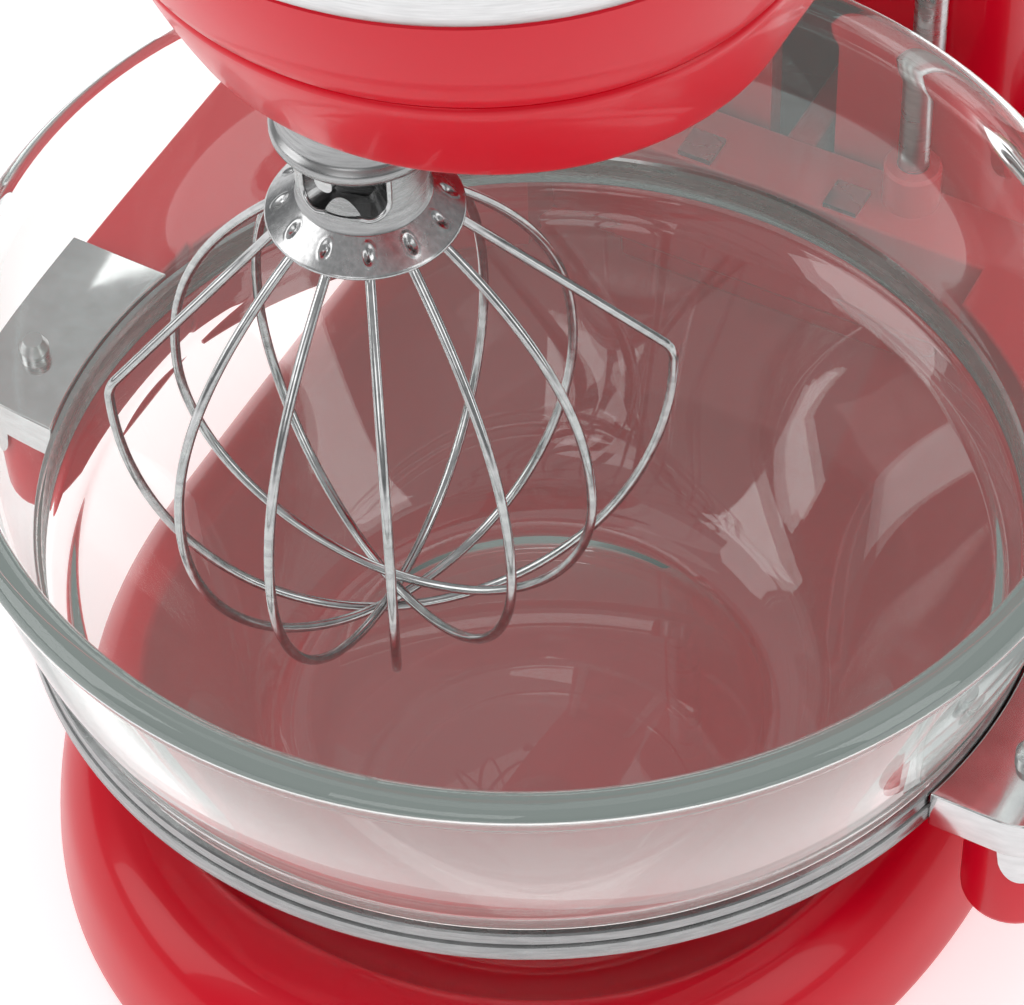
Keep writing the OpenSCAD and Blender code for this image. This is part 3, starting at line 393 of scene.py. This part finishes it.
# ---- head
def make_lower_housing():
    bm = bmesh.new()
    wall, floor_t = 3.5, 5
    heights = [(0, 2.2), (0.4, 1.2), (1.0, 0.55), (2.0, 0.15), (3.2, 0)]
    lower_h = seam_z - skirt_z
    heights += [(z, 0) for z in range(5, int(lower_h) - 1, 2)]
    heights += [(lower_h - 1.6, 0.05), (lower_h - 0.9, 0.35), (lower_h - 0.3, 0.9), (lower_h, 1.6)]
    outer = [head_outline(skirt_z + z, inset) for z, inset in heights]
    inner = [head_outline(skirt_z + z, wall) for z in (lower_h, 0.5 * lower_h, floor_t)]
    opening = [circle(HEAD_POINTS, disc_r + 0.6, 0, bowl_y, skirt_z + z) for z in (floor_t, 0.6)]
    opening.append(circle(HEAD_POINTS, disc_r + 1.3, 0, bowl_y, skirt_z))
    loft(bm, outer + inner + opening, loop=True)
    keep(bm, "lower_head_casting", "stand", "red_enamel", ["head_lower_housing"])


def head_shell():
    """Upper casting as one wall, from the top of its inside, round its lower edge, to its outer top."""
    bm = bmesh.new()
    wall = 3.5
    skin = [(seam_z, 1.6), (seam_z + 0.3, 0.9), (seam_z + 0.9, 0.35), (seam_z + 1.6, 0.05)]
    skin += [(seam_z + z, 0) for z in range(4, int(band_z - seam_z) - 1, 3)]
    skin += [(band_z - 0.5, 0), (band_z, 0.5), (band_z + 0.05, 1.3), (band_z + band_h / 2, 1.3),
             (band_z + band_h - 0.05, 1.3), (band_z + band_h, 0.5), (band_z + band_h + 0.5, 0)]
    rise = top_z - widest_z
    crown = [sin(radians(2 + 3.2 * k)) for k in range(27)]
    skin += [(widest_z + rise * share, 0) for share in crown] + [(top_z, 0)]
    inside = [(top_z - wall, wall)] + [(widest_z + (rise - wall) * share, wall) for share in reversed(crown)]
    inside += [(band_z, wall), (seam_z, wall)]
    loft(bm, [head_outline(z, inset) for z, inset in inside + skin])
    return bm


def half_shell(y, keep_front, name, node):
    bm = head_shell()
    bmesh.ops.bisect_plane(bm, geom=bm.verts[:] + bm.edges[:] + bm.faces[:], dist=0.000001,
                           plane_co=(0, y * MM, 0), plane_no=(0, 1, 0),
                           clear_outer=keep_front, clear_inner=not keep_front)
    cut = [edge for edge in bm.edges if edge.is_boundary]
    bmesh.ops.contextual_create(bm, geom=cut)
    return keep(bm, name, "stand", "red_enamel", [node])


def make_upper_housing():
    half_shell(cover_y - 0.25, True, "upper_head_casting", "head_upper_housing")


def make_rear_cover():
    piece = half_shell(cover_y + 0.25, False, "rear_cover", "rear_end_cover")
    cutter = bmesh.new()
    for x in range(-24, 25, 8):
        block(cutter, (x - 1.6, tail_y - 20, seam_z + 12), (x + 1.6, tail_y + 5, seam_z + 22), 0.9)
    carve(piece, cutter)


def make_trim_band():
    bm = bmesh.new()
    top = band_z + band_h
    skin = [(band_z + 0.1, 1.2), (band_z + 0.1, 0.6), (band_z + 0.35, 0.1), (band_z + 0.9, -0.25)]
    skin += [(band_z + band_h * k / 6, -0.3) for k in range(1, 6)]
    skin += [(top - 0.9, -0.25), (top - 0.35, 0.1), (top - 0.1, 0.6), (top - 0.1, 1.2)]
    loft(bm, [head_outline(z, inset) for z, inset in skin], loop=True)
    keep(bm, "trim_strip", "stand", "satin_steel", ["trim_band"])


# ---- base and column
def base_outline(z, inset):
    front = -base_half_l + inset
    middle = -base_half_l + 137
    return plan(176, base_half_w - inset, front, middle, middle, base_half_l - inset, 2.1, 4, z)


def dish_outline(z, grow):
    half_w = 66 + grow
    rear = col_y0 - 28
    return plan(176, half_w, bowl_y - half_w - 6, bowl_y - 10, rear - 60, rear + grow, 2.1, 2.6, z)


def make_base():
    bm = bmesh.new()
    side = smooth_path([(base_bottom, 1.5), (base_bottom + 2.5, 0), (base_bottom + 12, 0.8),
                        (base_bottom + 22, 3), (base_bottom + 29, 7), (base_h - 1.5, 12),
                        (base_h, 17)], 5)
    bowl = smooth_path([(base_h, 26.5), (base_h - 0.8, 25.2), (base_h - 3.5, 23.6), (28, 20),
                        (20, 13), (14, 6), (10, 0), (9, -5)], 5)
    under = [base_outline(base_bottom, 6.5), base_outline(base_bottom, 1.5)]
    loft(bm, [base_outline(base_bottom + 1.2, 7)] + under + [base_outline(z, i) for z, i in side]
         + [dish_outline(z, g) for z, g in bowl])
    keep(bm, "base_casting", "stand", "red_enamel", ["base"], sharp=50)


def make_feet():
    bm = bmesh.new()
    lo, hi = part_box("rubber_feet")
    for x in (-85, 85):
        turned(bm, [(0, 0), (8.2, 0), (9, 0.8), (9, 3), (11, 3), (11, 7), (0, 7)], x, lo.y / MM + 11)
    for x in (-74, 74):
        turned(bm, [(0, 0), (8.2, 0), (9, 0.8), (9, 3), (11, 3), (11, 7), (0, 7)], x, hi.y / MM - 11)
    keep(bm, "rubber_pads", "stand", "rubber", ["rubber_feet"])


def column_outline(z, grow, inset=0.0):
    middle = (col_y0 + col_y1) / 2
    return plan(160, 52 + grow - inset, col_y0 + inset, middle, middle, col_y1 - inset, 5, 3.4, z)


def make_column():
    bm = bmesh.new()
    flare = smooth_path([(base_h, 11), (base_h + 6, 8), (base_h + 16, 4), (base_h + 34, 1),
                         (base_h + 70, 0), (skirt_z - 40, 0), (skirt_z - 18, 2), (skirt_z - 6, 5),
                         (skirt_z, 8)], 5)
    loft(bm, [column_outline(z, grow) for z, grow in flare]
         + [column_outline(z, 5 if z > 200 else 0, 6) for z in (skirt_z, skirt_z - 30, base_h)], loop=True)
    piece = keep(bm, "column_casting", "stand", "red_enamel", ["column"])
    cutter = bmesh.new()
    block(cutter, (-9, col_y0 - 30, arm_bottom + 8), (9, col_y0 + 14, arm_bottom + 92), 1.5)
    carve(piece, cutter)
    rods_low, rods_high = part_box("guide_rods")
    rod_y = (rods_low.y + rods_high.y) / 2 / MM
    rod_x = rods_high.x / MM - 4
    bm = bmesh.new()
    for z in (base_h, rods_high.z / MM - 9):
        block(bm, (-rod_x - 10, rod_y - 8, z), (rod_x + 10, col_y0 + 4, z + 9), 2)
    on_side = Matrix.Rotation(radians(90), 3, "Y")
    turned(bm, [(9, 0), (14, 0), (14, 15), (13, 16), (9, 16)], 38, crank_y, crank_z, 64, True, on_side)
    keep(bm, "rod_brackets", "stand", "red_enamel")


# ---- planetary
def make_planetary():
    bm = bmesh.new()
    boss_r, top = 16.7, skirt_z - 2
    rim = [(14.75, flange_z + 0.4), (14.95, flange_z), (16.9, flange_z), (17.8, flange_z + 0.35),
           (18.25, flange_z + 1.1), (18.25, flange_z + 2.5), (17.9, flange_z + 3.3),
           (17.2, flange_z + 3.8), (boss_r, flange_z + 4.6), (boss_r, top + 2), (14.75, top + 2)]
    turned(bm, rim, beater_x, beater_y, steps=120)
    plate = [(0, top + 6), (0, top + 1.2), (20, top + 0.6), (disc_r - 5, top + 0.2), (disc_r - 1.2, top),
             (disc_r - 0.3, top + 0.4), (disc_r, top + 1.3), (disc_r, top + 6)]
    turned(bm, plate, 0, bowl_y, steps=160, loop=False)
    keep(bm, "planetary_boss", "planetary", "cast_metal", ["planetary_housing"], surface=HUB_STEEL)


# ---- whip
def on_whip(bm, verts):
    bmesh.ops.translate(bm, verts=verts, vec=Vector((beater_x, beater_y, 0)) * MM)


def make_collar():
    """Cone with a thin lower lip and a pressed oval dimple over each wire's end."""
    bm = bmesh.new()
    slope = [(hub_r + 0.3 + (collar_r - hub_r - 0.5) * t, collar_z + 0.9 + (collar_h - 1.1) * (1 - t))
             for t in (k / 26 for k in range(27))]
    lip = [(collar_r, collar_z + 0.55), (collar_r, collar_z + 0.2), (collar_r - 0.2, collar_z),
           (collar_r - 1.0, collar_z)]
    back = [(collar_r - 1.6, collar_z + 0.6), (hub_r - 1, collar_z + 3.6), (hub_r - 1, collar_z + collar_h)]
    turned(bm, slope + lip + back, steps=360)
    lean = Vector((collar_h - 1.1, 0, collar_r - hub_r - 0.5)).normalized()
    middle = 0.47
    mid_r = hub_r + 0.3 + (collar_r - hub_r - 0.5) * middle
    mid_z = collar_z + 0.9 + (collar_h - 1.1) * (1 - middle)
    along = Vector((collar_r - hub_r - 0.5, 0, -(collar_h - 1.1))).normalized()
    for k in range(12):
        turn = Matrix.Rotation(WHIP_TURN + k * pi / 6, 3, "Z")
        centre = turn @ Vector((mid_r, 0, mid_z))
        out, down = turn @ lean, turn @ along
        across = out.cross(down)
        for vert in bm.verts:
            offset = vert.co / MM - centre
            depth = offset.dot(out)
            if abs(depth) > 0.5 or offset.length > 4:
                continue
            reach = sqrt((offset.dot(down) / 2.1) ** 2 + (offset.dot(across) / 1.15) ** 2)
            if reach < 1:
                vert.co -= out * 0.75 * (cos(pi * reach) + 1) / 2 * MM
            elif reach < 1.4:
                vert.co += out * 0.12 * sin(pi * (reach - 1) / 0.4) * MM
    on_whip(bm, bm.verts[:])
    keep(bm, "whip_cone", "whip", "whip_steel", ["whip_collar"], sharp=50, surface=COLLAR_STEEL)


def window_path(half_turn, top, bottom, corner, steps=8):
    """Points (turn, height) down one side of the slot, round its two corners and up again."""
    corner_turn = corner / hub_r
    left = [(-half_turn + corner_turn * (1 - cos(a)), bottom + corner * (1 - sin(a)))
            for a in (0.5 * pi * k / steps for k in range(steps + 1))]
    right = [(-turn, z) for turn, z in reversed(left)]
    return [(-half_turn, top)] + left + right + [(half_turn, top)]


def make_whip_hub():
    top, bottom = hub_top, collar_z + collar_h
    bm = bmesh.new()
    turned(bm, [(6.1, bottom - 5.5), (hub_r - 1, bottom - 5.5), (hub_r - 1, bottom - 0.4), (hub_r + 0.45, bottom - 0.4),
                (hub_r, bottom + 0.5), (hub_r, top - 0.5), (hub_r - 0.5, top), (6.1, top)], steps=144)
    on_whip(bm, bm.verts[:])
    piece = keep(bm, "whip_socket", "whip", "whip_steel", ["whip_hub"], surface=HUB_STEEL)
    centre = Vector((beater_x, beater_y, 0))

    def placed(turn, r, z):
        a = WINDOW_TURN + turn
        return (centre + Vector((r * cos(a), r * sin(a), z))) * MM
    slot = window_path(0.70, top + 2, bottom + 4.2, 4)
    arch = [(0.70 - 1.40 * k / 16, top + 2) for k in range(1, 16)]
    cutter = bmesh.new()
    loft(cutter, [[placed(turn, r, z) for turn, z in slot + arch] for r in (7.5, 16)])
    carve(piece, cutter)
    bm = bmesh.new()
    bead = [placed(turn, hub_r + 0.05, z) for turn, z in window_path(0.735, top - 0.6, bottom + 3.7, 4.4)]
    tube(bm, bead, 0.65 * MM, 12, Vector((cos(WINDOW_TURN), sin(WINDOW_TURN), 0)))
    keep(bm, "slot_bead", "whip", "whip_steel")


def wire_shapes():
    """Half paths (radius, height) of the whip's loops: the wide one first, then the smooth ones."""
    lo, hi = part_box("whip_wire_1")
    zb = lo.z / MM + 1.1
    top = collar_z - 1.5
    middle = zb + 60
    loop_r, shoulder_r, skew, bend_r, inner = 50.5, 60.3, 3.2, 8, 16
    shapes = []
    for k in range(6):
        foot = zb + 2.4 * k
        if k == 0:
            halves = []
            for reach in (shoulder_r + skew, shoulder_r - skew):
                knee = top - 50
                arc = [(reach - bend_r + bend_r * cos(a), knee + bend_r * sin(a))
                       for a in (radians(44 - 44 * j / 12) for j in range(13))]
                side = [(reach * cos(a), knee - (knee - foot) * sin(a))
                        for a in (radians(90 * j / 36) for j in range(1, 37))]
                start = (inner, top + 3)
                halves.append([start] + [(inner + (arc[0][0] - inner) * t, top + (arc[0][1] - top) * t)
                                         for t in (0.02, 0.35, 0.7, 0.96)] + arc + side)
            shapes.append(halves)
        else:
            upper = [(inner + (loop_r - inner) * (1 - u ** 2.17), middle + (top - middle) * u)
                     for u in (1 - j / 30 for j in range(30))]
            lower = [(loop_r * cos(a), middle - (middle - foot) * sin(a))
                     for a in (radians(90 * j / 36) for j in range(37))]
            half = [(inner, top + 3)] + upper + lower
            shapes.append([half, half])
    return shapes


def make_wires():
    centre = Vector((beater_x, beater_y, 0))
    for k, (one, other) in enumerate(wire_shapes()):
        turn = Matrix.Rotation(WHIP_TURN + k * pi / 6, 3, "Z")
        flat = [Vector((r, 0, z)) for r, z in one] + [Vector((-r, 0, z)) for r, z in reversed(other[:-1])]
        bm = bmesh.new()
        tube(bm, [(centre + turn @ point) * MM for point in flat], 1.1 * MM, 16, turn @ Vector((0, 1, 0)))
        keep(bm, f"wire_loop_{k + 1}", "whip", "whip_steel", [f"whip_wire_{k + 1}"], sharp=60)


# ---- bowl
def make_bowl():
    """Glass with a foot, a rounded lower half, a straight seat for the ring, a flare and a rolled rim."""
    low_h = ring_z - bowl_z
    bowl_h = rim_z - bowl_z
    foot_r, seat_r, glass_t, bead = 58, ring_r - 2, 4, 4.2
    outer = [(foot_r + 8 + (seat_r - foot_r - 14) * t ** 0.85, 3 + (low_h - 7) * t ** 1.15)
             for t in (k / 28 for k in range(29))]
    outer += [(seat_r - 1.2, low_h - 1.2), (seat_r - 0.05, low_h), (seat_r - 0.05, low_h + ring_h)]
    outer += [(seat_r + (rim_r - 4 - seat_r) * sin(radians(88 * t)), low_h + ring_h + (bowl_h - low_h - ring_h - 9) * t)
              for t in (k / 18 for k in range(1, 19))]
    inner = [(r - glass_t, max(7.5, h + 1.5)) for r, h in reversed(outer[3:])]
    rolled = [(rim_r - bead + bead * cos(a), bowl_h - bead + bead * sin(a))
              for a in (radians(-40 + 11 * k) for k in range(21))]
    foot = [(0, 1.2), (foot_r - 5, 1.2), (foot_r - 3, 0), (foot_r, 0), (foot_r + 3, 0.6), (foot_r + 6, 1.8)]
    floor = [(64, 6.6), (58, 5.4), (50, 5), (0, 5)]
    bm = bmesh.new()
    turned(bm, foot + outer + rolled + inner + floor, 0, bowl_y, bowl_z, steps=192, loop=False)
    keep(bm, "bowl_of_glass", "bowl", "clear_glass", ["glass_bowl"], sharp=60)


def make_carrier_ring():
    """Steel band in two steps with a dark line pressed between them."""
    bm = bmesh.new()
    r, h = ring_r, ring_h
    band = [(r - 1.9, 0), (r - 1.2, -0.1), (r - 0.4, 0.1), (r - 0.05, 0.7), (r - 0.05, h * 0.44),
            (r - 0.25, h * 0.5), (r - 0.95, h * 0.52), (r - 0.95, h * 0.58), (r - 0.55, h * 0.62),
            (r - 0.45, h - 0.6), (r - 0.8, h - 0.1), (r - 1.9, h)]
    turned(bm, band, 0, bowl_y, ring_z, steps=192)
    keep(bm, "carrier_band", "bowl", "bright_steel", ["carrier_ring"], surface=HUB_STEEL)


def bracket_edge(grow, steps=20):
    """Outer edge of a bracket: from the ring, across the front, round the tip and back."""
    w = arm_w / 2 + 0.5 + grow
    start = sqrt(ring_r ** 2 - (arm_tip - w - bowl_y) ** 2)
    points = [(start, arm_tip - w)]
    points += [(arm_mid + w * sin(a), arm_tip - w * cos(a)) for a in (radians(90 * k / steps) for k in range(steps + 1))]
    return points + [(arm_mid + w, arm_tip + 43)]


def one_bracket(bm, side):
    edge = bracket_edge(1.5)
    first, last = edge[0], edge[-1]
    low_turn = (last[1] - bowl_y) / ring_r
    high_turn = (first[1] - bowl_y) / ring_r
    arc = [(sqrt(ring_r ** 2 - (ring_r * s) ** 2) + 0.05, bowl_y + ring_r * s)
           for s in (low_turn + (high_turn - low_turn) * k / 16 for k in range(17))]
    top = arm_top + 2.5
    outer = [bm.verts.new(Vector((side * x, y, top)) * MM) for x, y in edge]
    inner = [bm.verts.new(Vector((side * x, y, top)) * MM) for x, y in arc[:-1]]
    bm.faces.new(outer + inner)
    rim = [bm.edges.get(pair) for pair in zip(outer, outer[1:])]
    grown = bmesh.ops.extrude_edge_only(bm, edges=rim)["geom"]
    verts = [item for item in grown if isinstance(item, bmesh.types.BMVert)]
    bmesh.ops.translate(bm, verts=verts, vec=(0, 0, -11 * MM))


def make_brackets():
    for side, name in ((1, "right_bracket"), (-1, "left_bracket")):
        bm = bmesh.new()
        one_bracket(bm, side)
        bmesh.ops.recalc_face_normals(bm, faces=bm.faces)
        if bm.faces[0].normal.z < 0:
            bmesh.ops.reverse_faces(bm, faces=bm.faces)
        bmesh.ops.solidify(bm, geom=bm.faces[:], thickness=1.4 * MM)
        edges = [edge for edge in bm.edges if len(edge.link_faces) == 2 and edge.calc_face_angle() > 0.9]
        bmesh.ops.bevel(bm, geom=edges, offset=0.5 * MM, segments=3, affect="EDGES", profile=0.5, material=-1)
        keep(bm, name, "bowl", "bright_steel", ["bowl_brackets"], sharp=40)
        bm = bmesh.new()
        lower = [point for point in bracket_edge(0.9, 32) if point[0] > ring_r + 5]
        lower[-1] = (lower[-1][0], lower[-1][1] - 1)
        top, drop = arm_top - 8.6, 10
        strip = [bm.verts.new(Vector((side * x, y, top)) * MM) for x, y in lower]
        edges = [bm.edges.new(pair) for pair in zip(strip, strip[1:])]
        grown = bmesh.ops.extrude_edge_only(bm, edges=edges)["geom"]
        for vert in (item for item in grown if isinstance(item, bmesh.types.BMVert)):
            near = min(1, (Vector((abs(vert.co.x) / MM, vert.co.y / MM)) - Vector(lower[0])).length / 6)
            vert.co.z -= drop * sqrt(1 - (1 - near) ** 2) * MM
        bmesh.ops.solidify(bm, geom=bm.faces[:], thickness=-1.0 * side * MM)
        keep(bm, name + "_skirt", "bowl", "bright_steel", sharp=40)


# ---- yoke
def make_yoke():
    """Fork with two arms that round off at their tips, and a bar behind the bowl."""
    bar_y0 = bowl_y + ring_r + 2
    bar_y1 = bar_y0 + 20
    corner = 24
    arc = [radians(90 * k / 14) for k in range(15)]
    tip = [(arm_mid + arm_w / 2 * cos(a), arm_tip - arm_w / 2 * sin(a)) for a in (pi * k / 20 for k in range(21))]
    rear = [(arm_outer - corner + corner * cos(a), bar_y1 - corner + corner * sin(a)) for a in arc]
    seat_r = ring_r + 4.5
    first = 38 / seat_r
    last = sqrt(1 - (60 / seat_r) ** 2)
    inside = [(seat_r * sqrt(1 - s * s), bowl_y + seat_r * s)
              for s in (first + (last - first) * k / 24 for k in range(25))]
    inside = [(ring_r, arm_tip + 8), (ring_r, bowl_y + 38)] + [p for p in inside if p[0] < ring_r]
    outline = list(reversed(rear)) + tip + inside + [(60, bar_y0)]
    left = [(-x, y) for x, y in reversed(outline)]
    bm = bmesh.new()
    verts = [bm.verts.new(Vector((x, y, arm_bottom)) * MM) for x, y in outline + left]
    face = bm.faces.new(verts)
    grown = bmesh.ops.extrude_face_region(bm, geom=[face])["geom"]
    top = [item for item in grown if isinstance(item, bmesh.types.BMVert)]
    bmesh.ops.translate(bm, verts=top, vec=(0, 0, (arm_top - arm_bottom) * MM))
    bmesh.ops.remove_doubles(bm, verts=bm.verts, dist=0.00001)
    bmesh.ops.recalc_face_normals(bm, faces=bm.faces)
    lower = [edge for edge in bm.edges if all(v.co.z / MM < arm_bottom + 1 for v in edge.verts)]
    bmesh.ops.bevel(bm, geom=lower, offset=3.2 * MM, segments=5, affect="EDGES", profile=0.5, material=-1)
    upper = [edge for edge in bm.edges if all(v.co.z / MM > arm_top - 0.1 for v in edge.verts)]
    bmesh.ops.bevel(bm, geom=upper, offset=1.2 * MM, segments=3, affect="EDGES", profile=0.5, material=-1)
    rods_low, rods_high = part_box("guide_rods")
    rod_y = (rods_low.y + rods_high.y) / 2 / MM
    rod_x = rods_high.x / MM - 4
    for x in (-rod_x, rod_x):
        turned(bm, [(4.1, 0), (7.5, 0), (7.5, 49), (6.8, 50), (4.1, 50)], x, rod_y, arm_bottom, 48)
    block(bm, (-4, bar_y1 - 2, arm_bottom + 14), (4, high("bowl_yoke", "y"), arm_bottom + 36), 1)
    keep(bm, "lifting_fork", "yoke", "red_enamel", ["bowl_yoke"])


# ---- controls
def make_knobs():
    bm = bmesh.new()
    lo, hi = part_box("lift_knob")
    length, tilt = 28, radians(-8)
    shape = smooth_path([(3.5, -0.2), (7, 0), (9.5, 4), (11, 12), (11, 20), (8.5, 26), (4, 28), (0.01, 28)], 5)
    lay = Matrix.Rotation(tilt, 3, "X") @ Matrix.Rotation(radians(-90), 3, "X")
    start_y = crank_y + 46 * cos(tilt)
    start_z = crank_z + 46 * sin(tilt)
    turned(bm, shape, (lo.x + hi.x) / 2 / MM, start_y, start_z, 64, False, lay)
    keep(bm, "lift_grip", "lift_lever", "black_plastic", ["lift_knob"])


def make_hub_cap():
    bm = bmesh.new()
    lo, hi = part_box("hub_cap")
    face_y = lo.y / MM
    lay = Matrix.Rotation(radians(-90), 3, "X")
    turned(bm, [(0, 0.3), (14, 0.3), (16, 0.9), (18, 0.5), (22.5, 0), (23.6, 0.5), (24, 1.4), (24, 5),
                (20, 5), (20, 3), (0, 3)], 0, face_y, hub_z, 120, False, lay)
    block(bm, (-6, face_y, hub_z + 20), (6, face_y + 5, hub_z + 29), 0.8)
    on_side = Matrix.Rotation(radians(90), 3, "Y")
    turned(bm, [(0, -6), (3, -6), (3, 6), (0, 6)], 0, face_y + 2, hub_z + 29.5, 40, False, on_side)
    turned(bm, [(0, -9.8), (1.5, -9.8), (1.5, 9.8), (0, 9.8)], 0, face_y + 2, hub_z + 29.5, 24, False, on_side)
    keep(bm, "socket_cap", "hub_cap", "satin_steel", ["hub_cap"])


# ---- stage
def make_stage():
    bm = bmesh.new()
    bmesh.ops.create_grid(bm, x_segments=1, y_segments=1, size=4)
    mesh = bpy.data.meshes.new("floor")
    bm.to_mesh(mesh)
    bm.free()
    pale = finish("pale floor", Base_Color=(0.9, 0.9, 0.91, 1), Roughness=0.6,
                  Emission_Color=(1, 1, 1, 1), Emission_Strength=0.5)
    bumps(pale, noise(pale, 200), 0.02, 0.0002)
    mesh.materials.append(pale)
    floor = bpy.data.objects.new("floor", mesh)
    bpy.context.scene.collection.objects.link(floor)


def lamp(name, place, aim, size, power, colour=(1, 1, 1)):
    data = bpy.data.lights.new(name, "AREA")
    data.shape = "RECTANGLE"
    data.size, data.size_y = size
    data.energy = power
    data.color = colour
    light = bpy.data.objects.new(name, data)
    light.location = place
    light.rotation_mode = "QUATERNION"
    light.rotation_quaternion = (Vector(aim) - Vector(place)).to_track_quat("-Z", "Y")
    bpy.context.scene.collection.objects.link(light)


def make_lights():
    middle = (0, -0.05, 0.2)
    lamp("left softbox", (-1.3, -0.9, 0.9), middle, (0.9, 1.3), 9)
    lamp("front softbox", (0.35, -1.9, 1.0), middle, (1.0, 0.7), 4)
    lamp("top softbox", (0.1, 0.1, 2.0), middle, (1.8, 1.8), 6)
    lamp("right softbox", (1.5, -0.1, 0.8), middle, (0.5, 1.2), 4)
    lamp("rear softbox", (-0.3, 1.6, 1.0), middle, (1.6, 0.8), 6)
    world = bpy.data.worlds.new("pale room")
    world.use_nodes = True
    nodes, links = world.node_tree.nodes, world.node_tree.links
    direction = nodes.new("ShaderNodeTexCoord")
    split = nodes.new("ShaderNodeSeparateXYZ")
    ramp = nodes.new("ShaderNodeValToRGB")
    ramp.color_ramp.elements[0].position = 0.06
    ramp.color_ramp.elements[0].color = (0.4, 0.41, 0.42, 1)
    ramp.color_ramp.elements[1].position = 0.5
    ramp.color_ramp.elements[1].color = (0.95, 0.96, 0.97, 1)
    links.new(direction.outputs["Generated"], split.inputs["Vector"])
    links.new(split.outputs["Z"], ramp.inputs["Fac"])
    links.new(ramp.outputs["Color"], nodes["Background"].inputs["Color"])
    nodes["Background"].inputs["Strength"].default_value = 0.5
    bpy.context.scene.world = world
    bpy.context.scene.view_settings.view_transform = "Standard"


def dress_frame():
    """Gives each piece of the frame the finish of its slot."""
    slots = {part["node"]: part["material_slot"] for part in frame["record"]["subparts"]}
    for node, piece in frame["nodes"].items():
        for slot in piece.material_slots:
            slot.material = FINISHES[slots[node]]


make_camera()
dress_frame()
make_lower_housing()
make_upper_housing()
make_rear_cover()
make_trim_band()
make_base()
make_feet()
make_column()
make_planetary()
make_collar()
make_whip_hub()
make_wires()
make_bowl()
make_carrier_ring()
make_brackets()
make_yoke()
make_knobs()
make_hub_cap()
make_stage()
make_lights()

bpy.context.view_layer.update()
